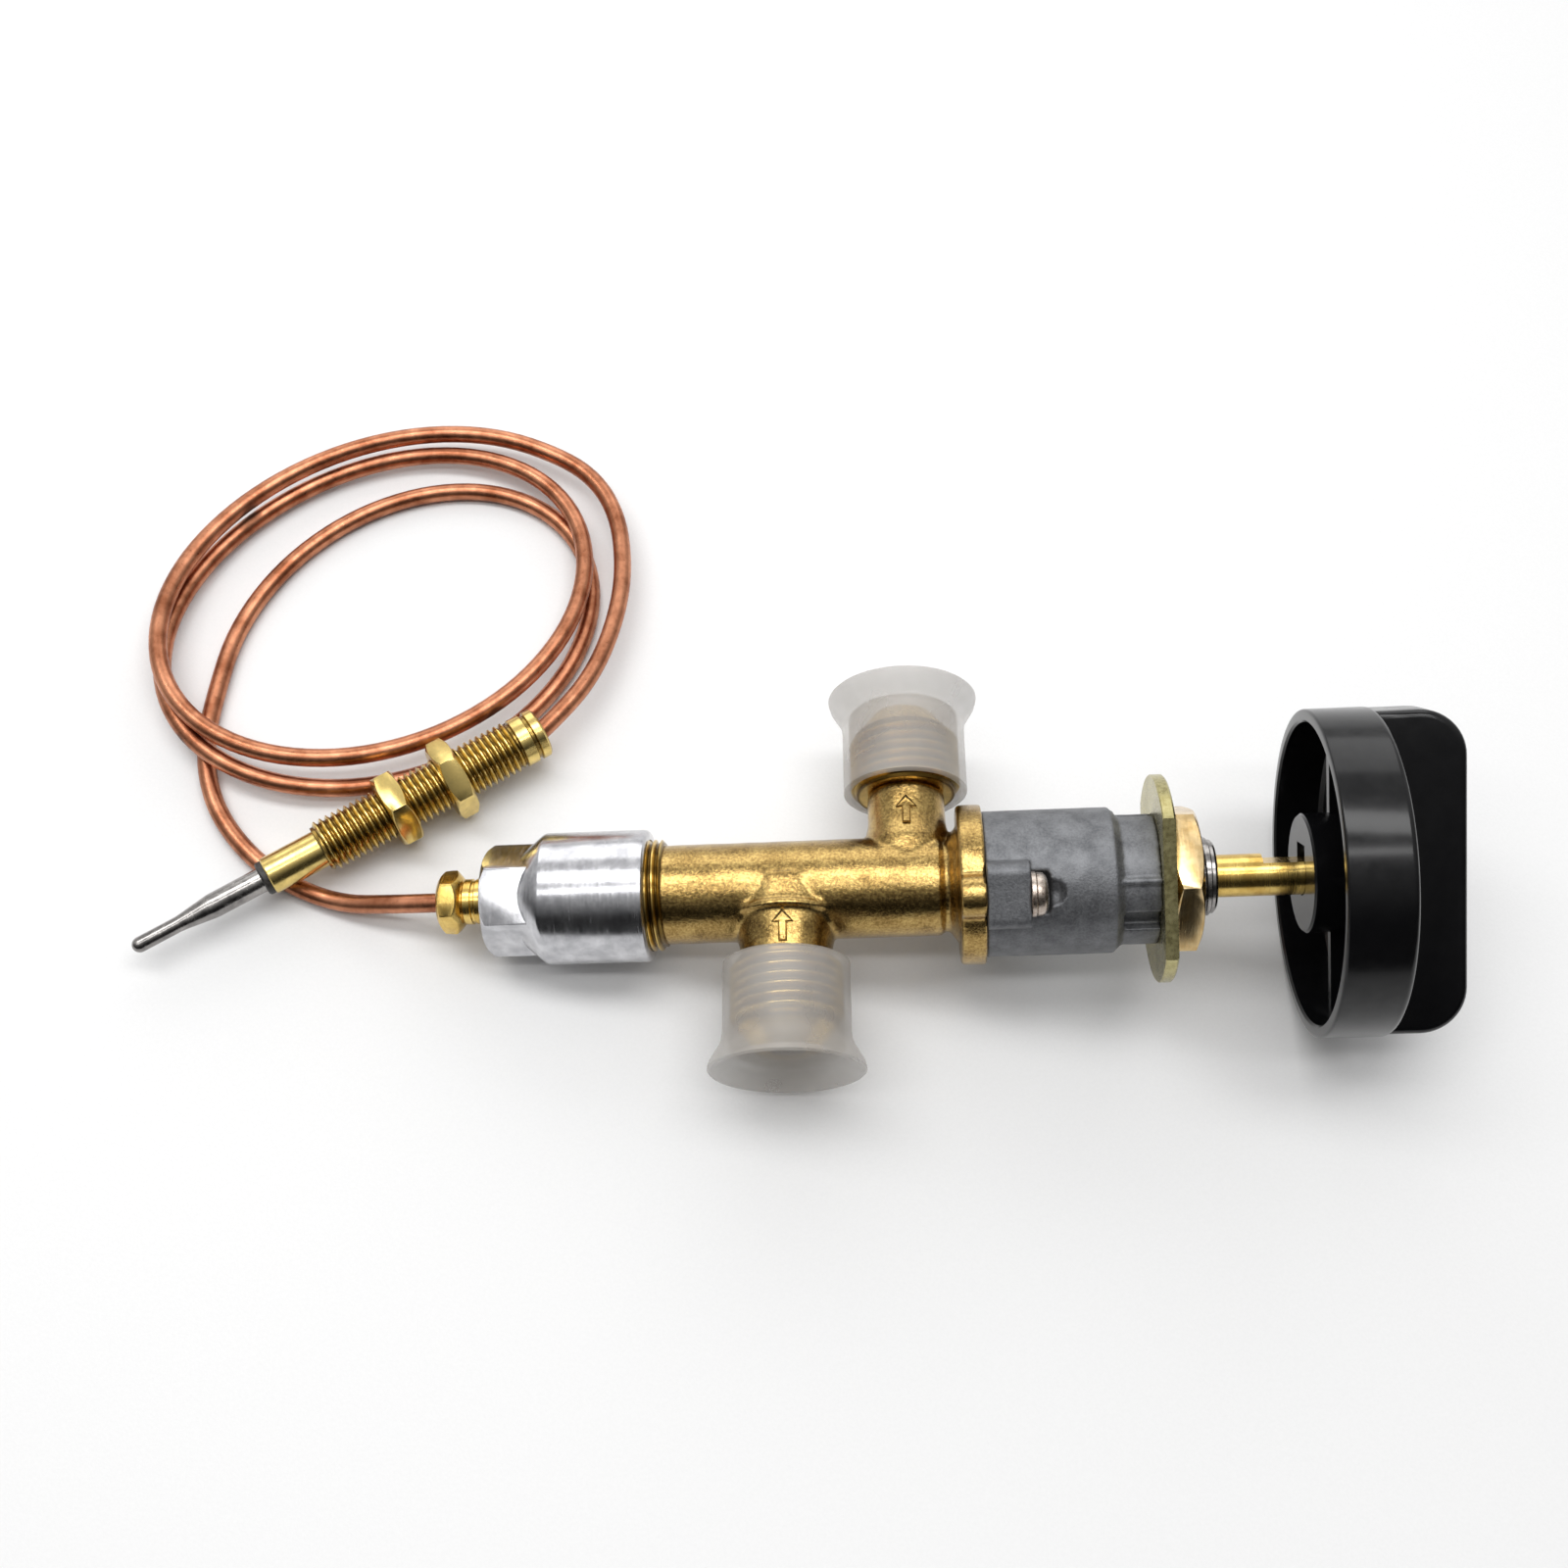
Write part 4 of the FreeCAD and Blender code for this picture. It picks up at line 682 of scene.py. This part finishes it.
# Pan-head screws with their washers, in the housing's channels.
screws = {
    "washer": (-17.9, -17.2), "washerRadius": 3.1, "head": -15.5, "radius": 3.0, "shank": 1.5, "tip": -27.1,
    "cross": 0.42, "crossReach": 1.7, "crossDepth": 1.0,
}
for name, side in (("upper", 0), ("lower", 180)):
    w0, w1 = screws["washer"]
    pan = lathe([(screws["tip"], 0), (screws["tip"], 1.2), (screws["tip"] + 0.4, screws["shank"]),
                 (w1, screws["shank"]), (w1, 2.9), (w1 + 0.12, screws["radius"]), (w1 + 0.9, 2.92),
                 (w1 + 1.3, 2.6),
                 (w1 + 1.58, 2.0), (screws["head"], 1.2), (screws["head"], 0)], 72)
    thin, long, floor = screws["cross"], screws["crossReach"], screws["head"] - screws["crossDepth"]
    cross = [block((floor, -thin, -long), (0, thin, long)), block((floor, -long, -thin), (0, long, thin))]
    pan = cut(pan, *cross)
    ring = lathe([(w0, 1.52), (w0, screws["washerRadius"] - 0.08), (w0 + 0.08, screws["washerRadius"]),
                  (w1 - 0.08, screws["washerRadius"]), (w1, screws["washerRadius"] - 0.08), (w1, 1.52)],
                 72, closed=True)
    for bm, node in ((pan, "housing_screw_"), (ring, "screw_washer_")):
        turn(shift(bm, 0, 0, b["earAt"]), b["lean"] + side, "X")
        place(bm, node + name + "_made", finishes["screw_steel"], "screw_steel", "valve", node + name)
print("screws set")

# Washer with two flats and the hexagon nut.
panel = {
    "washer": 14.65, "thick": 1.8, "flats": 11.0, "bore": 6.1, "nutEnd": 5.8, "nut": 19.0, "corner": 9.35,
}
p = panel
disc = lathe([(0.02, p["bore"]), (0.02, p["washer"] - 0.15), (0.17, p["washer"]),
              (p["thick"] - 0.25, p["washer"]),
              (p["thick"], p["washer"] - 0.25), (p["thick"], p["bore"])], 128, closed=True)
for side in (1, -1):
    trim = block((-1, -20, min(side * p["flats"], side * 20)), (3, 20, max(side * p["flats"], side * 20)))
    disc = cut(disc, turn(trim, b["lean"], "X"))
soften(disc, 0.12, 2, 60)
place(disc, "panel_washer_made", finishes["zinc_yellow"], "zinc_yellow", "valve", "panel_washer")
hole = lathe([(p["thick"] - 1, 0), (p["thick"] - 1, p["bore"]), (p["nutEnd"] - 0.5, p["bore"]),
              (p["nutEnd"] + 0.5, p["bore"] + 1), (p["nutEnd"] + 0.5, 0)], 96)
blank = nutBlank(p["nut"], 0, p["thick"], p["nutEnd"], p["corner"], 0.95, 11.2)
nut = soften(cut(blank, hole), 0.1, 2, 24)
place(nut, "panel_nut_made", finishes["nut_gold"], "nut_gold", "valve", "panel_nut")

# Spindle: round behind the flat, chamfered, its hidden end as in the frame.
shaft = bmesh.new()
shaft.from_mesh(nodes["spindle"].data)
bmesh.ops.scale(shaft, verts=shaft.verts, vec=(1000, 1000, 1000))
bmesh.ops.remove_doubles(shaft, verts=shaft.verts, dist=1e-3)
bmesh.ops.dissolve_limit(shaft, angle_limit=math.radians(1), verts=shaft.verts, edges=shaft.edges)
place(shaft, "spindle_made", finishes["brass_turned"], "brass_turned", "spindle", "spindle", sharp=30)
print("panel fittings and spindle placed")

# Aluminium cap nut: the milled flats run out as arches in the cone.
capNut = {
    "front": -71.2, "shoulder": -86.3, "coneEnd": -89.35, "end": -95.0, "radius": 9.5, "flats": 14.0,
    "turn": 17, "round": 0.8, "bore": 8.05, "endBore": 4.85, "boreEnd": -82.7,
}
c = capNut
skirt = lathe([(c["coneEnd"] - 1.2, 0), (c["coneEnd"] - 1.2, c["flats"] / 2 - 0.95),
               (c["coneEnd"], c["flats"] / 2),
               (c["shoulder"] - 0.15, c["radius"] - 0.15), (c["shoulder"] + 0.35, c["radius"]),
               (c["front"] - c["round"], c["radius"]), (c["front"] - 0.35, c["radius"] - 0.12),
               (c["front"] - 0.1, c["radius"] - 0.4), (c["front"], c["radius"] - c["round"]),
               (c["front"], 0)], 128)
blank = prism(hexagon(c["flats"], c["turn"]), c["end"], c["shoulder"] + 1)
rounding = lathe([(c["end"] - 0.3, 0), (c["end"] - 0.3, 6.03), (c["end"] + 0.25, 7.35), (c["end"] + 0.9, 8.0),
                  (c["end"] + 1.6, 8.3), (c["shoulder"] + 1.5, 8.3), (c["shoulder"] + 1.5, 0)], 128)
hexEnd = soften(combined(blank, rounding, "INTERSECT"), 0.15, 2, 30)
inside = lathe([(c["end"] - 1, 0), (c["end"] - 1, c["endBore"]), (c["boreEnd"], c["endBore"]),
                (c["boreEnd"], c["bore"]), (c["front"] + 1, c["bore"]), (c["front"] + 1, 0)], 96)
place(cut(joined(skirt, hexEnd), inside), "rear_cap_nut_made", finishes["aluminium_bright"],
      "aluminium_bright", "valve", "rear_cap_nut", sharp=32)

# Union nut of the lead.
unionNut = {
    "back": -102.0, "hexEnd": -98.9, "neckEnd": -95.0, "flats": 8.0, "turn": 18, "neck": 3.3, "bore": 1.45,
    "thread": 3.9, "threadEnd": -85.0,
}
u = unionNut
head = prism(hexagon(u["flats"], u["turn"]), u["back"], u["hexEnd"] + 0.3)
rounding = lathe([(u["back"] - 0.3, 0), (u["back"] - 0.3, 3.07), (u["back"] + 0.7, 4.5),
                  (u["hexEnd"] - 0.8, 4.7),
                  (u["hexEnd"] + 0.5, 3.16), (u["hexEnd"] + 0.5, 0)], 96)
neck = lathe([(u["hexEnd"] - 0.6, 0), (u["hexEnd"] - 0.6, 3.0), (u["hexEnd"] + 0.4, 2.95),
              (u["hexEnd"] + 0.7, u["neck"]), (-97.2, u["neck"]), (-97.05, 3.12), (-96.7, 3.12),
              (-96.55, u["neck"]), (u["neckEnd"], u["neck"]), (u["neckEnd"], u["thread"]),
              (u["threadEnd"], u["thread"]), (u["threadEnd"], 0)], 96)
drill = lathe([(u["back"] - 1, 0), (u["back"] - 1, u["bore"]), (-84, u["bore"]), (-84, 0)], 48)
head = soften(combined(head, rounding, "INTERSECT"), 0.12, 2, 30)
place(cut(joined(head, neck), drill), "lead_nut_made", finishes["brass_turned"], "brass_turned", "valve",
      "lead_nut", sharp=32)
print("cap nut and union nut placed")

# Knob: round skirt with a bar grip, hollow behind, with a hub and four ribs.
knob = {
    "rim": 21.4, "radius": 23.0, "inner": 21.2, "shoulder": 30.6, "plate": 28.4, "front": 42.4, "thick": 8.0,
    "angle": 32, "corner": 6.5, "reach": 22.7, "hub": 8.4, "hubBack": 20.6, "rib": 1.4, "ribFrom": 24.4,
    "edge": 1.0, "bore": 3.05, "boreEnd": 38.2,
}
k = knob


def arc(cx, cy, radius, start, stop, count):
    angles = [math.radians(start + (stop - start) * i / count) for i in range(count + 1)]
    return [(cx + radius * math.cos(a), cy + radius * math.sin(a)) for a in angles]


shell = lathe([(k["hubBack"], 0), (k["hubBack"], k["hub"] - 0.3), (k["hubBack"] + 0.3, k["hub"]),
               (k["plate"], k["hub"]),
               (k["plate"], k["inner"] - 0.6), (k["plate"] - 0.6, k["inner"]), (k["rim"] + 0.3, k["inner"]),
               (k["rim"], k["inner"] + 0.3), (k["rim"], k["radius"] - 0.45)]
              + arc(k["rim"] + 0.4, k["radius"] - 0.4, 0.4, 150, 90, 4)
              + arc(k["shoulder"] - k["edge"], k["radius"] - k["edge"], k["edge"], 90, 0, 8)
              + [(k["shoulder"], 0)], 180)
barShape = [(k["shoulder"] - 1, -k["reach"])]
barShape += arc(k["front"] - k["corner"], -(k["reach"] - k["corner"]), k["corner"], -90, 0, 14)
barShape += arc(k["front"] - k["corner"], k["reach"] - k["corner"], k["corner"], 0, 90, 14)
barShape += [(k["shoulder"] - 1, k["reach"])]
bar = prism(barShape, -k["thick"] / 2, k["thick"] / 2, upright=True)
rimFrom = k["shoulder"] - 0.9
sharp = [e for e in bar.edges if len(e.link_faces) == 2 and e.calc_face_angle() > math.radians(60)]
across = [e for e in sharp if abs(e.verts[0].co.z - e.verts[1].co.z) < 0.1]
rims = [e for e in across if all(v.co.x > rimFrom or abs(v.co.y) > k["reach"] - 0.01 for v in e.verts)
        and not all(v.co.x < rimFrom for v in e.verts)]
bmesh.ops.bevel(bar, geom=rims, offset=1.1, affect="EDGES", segments=5, profile=0.5, material=-1)
bar = turn(bar, k["angle"], "X")
ribs = []
for i in range(4):
    rib = block((k["ribFrom"], -k["rib"] / 2, k["hub"] - 0.4),
                (k["plate"] + 0.4, k["rib"] / 2, k["inner"] + 0.4))
    ribs.append(turn(rib, 90 * i + k["angle"], "X"))
bore = lathe([(k["hubBack"] - 1, 0), (k["hubBack"] - 1, 3.4), (k["hubBack"] + 0.35, k["bore"]),
              (k["boreEnd"], k["bore"]), (k["boreEnd"], 0)], 64)
key = turn(block((k["hubBack"] - 1, 1.5, -2.3), (k["hubBack"] + 0.6, 4.2, 2.3)), k["angle"], "X")
made = cut(joined(shell, bar, *ribs), bore, key)
place(made, "knob_made", finishes["knob_plastic"], "knob_plastic", "spindle", "knob", sharp=35)
print("knob moulded")

# Soft caps over the flare threads: tube, septum and bell mouth.
softCap = {
    "bore": 8.04, "wall": 8.99, "bell": 11.0, "length": 15.6, "bellLength": 5.6, "septum": 0.9, "gap": 0.15,
}
s = softCap
for name, at, side, reach in portPlaces:
    start = reach + 0.2
    end = start + s["length"]
    septum = reach + ports["length"] + ports["cone"] + s["gap"]
    bell = end - s["bellLength"]
    profile = [(septum, 0), (septum, s["bore"] - 0.5), (septum - 0.5, s["bore"]), (start + 0.1, s["bore"]),
               (start, s["bore"] + 0.15), (start, s["wall"] - 0.3), (start + 0.25, s["wall"]),
               (bell, s["wall"]),
               (bell + 1.2, s["wall"] + 0.12), (bell + 2.2, s["wall"] + 0.5), (bell + 3.2, s["wall"] + 1.1),
               (bell + 4.3, s["wall"] + 1.75), (end - 0.6, s["bell"] - 0.05), (end - 0.25, s["bell"]),
               (end, s["bell"] - 0.25), (end - 0.05, s["bell"] - 0.75), (end - 0.7, s["bell"] - 1.5),
               (septum + s["septum"] + 0.5, s["bore"] + 0.35), (septum + s["septum"], s["bore"] - 0.3),
               (septum + s["septum"], 0)]
    place(towardsPort(lathe(profile, 128), at, side), name + "_cap_made", finishes["cap_plastic"],
          "cap_plastic", name + "_cap", name + "_cap", sharp=50)
print("caps placed")

# The hot end, built along X from the lead's end and laid along its own line.
hotEnd = {
    "start": (-89.5, 28.7, -2.8), "tip": (-145.3, -6.5, 3.3), "thread": 4.0, "pitch": 1.0, "threadFrom": 4.3,
    "threadEnd": 37.3, "collar": 2.85, "collarEnd": 45.5, "ring": 2.6, "ringEnd": 46.5, "probe": 1.85,
    "taperFrom": 54.5, "taperTo": 59.5, "point": 1.15, "end": 66.7, "nut": 11.0, "nutThick": 3.3,
}
e = hotEnd
laidDown = Vector(e["tip"]) - Vector(e["start"])
# painted shade: the second colour is painted into the sleeve thread's valleys
sleeveBrass = threadedBrass("sleeveBrass", e["start"], e["tip"], e["thread"] - 0.6 * e["pitch"], e["thread"],
                            (0.84, 0.63, 0.22), (0.27, 0.175, 0.045))
lie = Matrix.Translation(e["start"]) @ Vector((1, 0, 0)).rotation_difference(laidDown).to_matrix().to_4x4()
sleeve = joined(
    thread(e["thread"], e["pitch"], e["threadFrom"], e["threadEnd"] - 0.2, lead=0.8),
    lathe([(0, 0), (0, 3.5), (0.35, 3.9), (1.5, 3.9), (1.7, 3.5), (2.1, 3.5), (2.3, 3.9),
           (e["threadFrom"] - 0.2, 3.9),
           (e["threadFrom"], 3.4), (e["threadFrom"] + 0.6, 3.3), (e["threadFrom"] + 0.6, 0)], 96),
    lathe([(30, 0), (30, e["collar"]), (e["collarEnd"] - 0.15, e["collar"]),
           (e["collarEnd"], e["collar"] - 0.15),
           (e["collarEnd"], 0)], 96))
recess = lathe([(e["threadEnd"] - 0.9, e["collar"] + 0.02), (e["threadEnd"] - 0.9, 3.15),
                (e["threadEnd"] + 1, 3.3),
                (e["threadEnd"] + 1, e["collar"] + 0.02)], 72, closed=True)
sleeve = cut(sleeve, recess)
hotPieces = [place(sleeve, "probe_sleeve_made", sleeveBrass, "brass_turned", "valve", "probe_sleeve",
                   pose=lie, sharp=32)]
for name, at, angle in (("rear", 13.6, 8), ("front", 22.9, 41)):
    blank = nutBlank(e["nut"], angle, at, at + e["nutThick"], 5.4, 0.75, 6.6)
    hole = lathe([(at - 1, 0), (at - 1, 4.02), (at + 5, 4.02), (at + 5, 0)], 72)
    made = soften(cut(blank, hole), 0.09, 2, 24)
    hotPieces.append(place(made, "sleeve_nut_" + name + "_made", sleeveBrass, "brass_turned", "valve",
                           "sleeve_nut_" + name, pose=lie, sharp=30))
ring = lathe([(e["collarEnd"] - 0.3, 0), (e["collarEnd"] - 0.3, 2.4), (e["collarEnd"], e["ring"]),
              (e["ringEnd"] - 0.25, e["ring"]), (e["ringEnd"], e["ring"] - 0.3), (e["ringEnd"], 0)], 72)
hotPieces.append(place(ring, "insulator_ring_made", finishes["insulator"], "insulator", "valve",
                       "insulator_ring", pose=lie))
rod = lathe([(e["ringEnd"] - 0.2, 0), (e["ringEnd"] - 0.2, e["probe"]), (e["taperFrom"] - 0.6, e["probe"]),
             (e["taperFrom"], e["probe"] - 0.03), (e["taperFrom"] + 0.6, e["probe"] - 0.11),
             (e["taperTo"] - 0.5, e["point"] + 0.06), (e["taperTo"] + 0.3, e["point"])]
            + arc(e["end"] - e["point"], 0, e["point"], 90, 0, 8), 72)
hotPieces.append(place(rod, "probe_made", finishes["steel_bright"], "steel_bright", "valve", "probe",
                       pose=lie))
print("hot end laid down")

# Bench, lights and the bright room that the metals mirror.
floorMesh = bmesh.new()
bmesh.ops.create_grid(floorMesh, x_segments=1, y_segments=1, size=bench["half"] / 1000)
bmesh.ops.transform(floorMesh, matrix=Vector((0, 0, 1)).rotation_difference(benchUp).to_matrix().to_4x4(),
                    verts=floorMesh.verts)
mx, my = bench["middle"]
shift(floorMesh, mx / 1000, my / 1000, benchHeight(mx) / 1000)
mesh = bpy.data.meshes.new("bench")
floorMesh.to_mesh(mesh)
floorMesh.free()
mesh.materials.append(softSolid("paleBench", (0.84, 0.84, 0.84), (0.86, 0.86, 0.86), 0.6, 0.7))
floor = bpy.data.objects.new("bench", mesh)
bpy.context.scene.collection.objects.link(floor)


def softbox(name, spot, aim, size, power, colour=(1, 1, 1)):
    lamp = bpy.data.lights.new(name, "AREA")
    lamp.shape = "RECTANGLE"
    lamp.size, lamp.size_y = size
    lamp.energy = power
    lamp.color = colour
    box = bpy.data.objects.new(name, lamp)
    box.location = spot
    box.rotation_euler = (Vector(aim) - Vector(spot)).to_track_quat("-Z", "Y").to_euler()
    bpy.context.scene.collection.objects.link(box)


softbox("topLight", (-0.03, 0.14, 0.60), (-0.05, 0, 0), (0.8, 0.16), 2.2)
softbox("sideLight", (-0.05, -0.10, 0.62), (-0.05, 0, 0), (0.8, 0.05), 0.8)
softbox("backLight", (-0.05, 0.75, 0.35), (-0.05, 0, 0), (1.0, 0.5), 2.1)

world = bpy.data.worlds.new("room")
bpy.context.scene.world = world
world.use_nodes = True
tree = world.node_tree
way = tree.nodes.new("ShaderNodeTexCoord")
lean = tree.nodes.new("ShaderNodeVectorMath")
lean.operation = "DOT_PRODUCT"
lean.inputs[1].default_value = (0.0, 0.5, 0.5)
span = tree.nodes.new("ShaderNodeMapRange")
span.inputs["From Min"].default_value = -0.75
span.inputs["From Max"].default_value = 0.75
ramp = tree.nodes.new("ShaderNodeValToRGB")
tree.links.new(way.outputs["Generated"], lean.inputs[0])
tree.links.new(lean.outputs["Value"], span.inputs["Value"])
tree.links.new(span.outputs["Result"], ramp.inputs[0])
stops = ((0.0, 0.02), (1.0, 0.75), (0.42, 0.03), (0.56, 0.22), (0.74, 0.62))
while len(ramp.color_ramp.elements) < len(stops):
    ramp.color_ramp.elements.new(0.5)
for element, (position, grey) in zip(ramp.color_ramp.elements, sorted(stops)):
    element.position = position
    element.color = (grey, grey, grey, 1)
back = tree.nodes["Background"]
tree.links.new(ramp.outputs[0], back.inputs[0])
back.inputs[1].default_value = 1.0
bpy.context.scene.view_settings.view_transform = "Standard"
print("room lit")
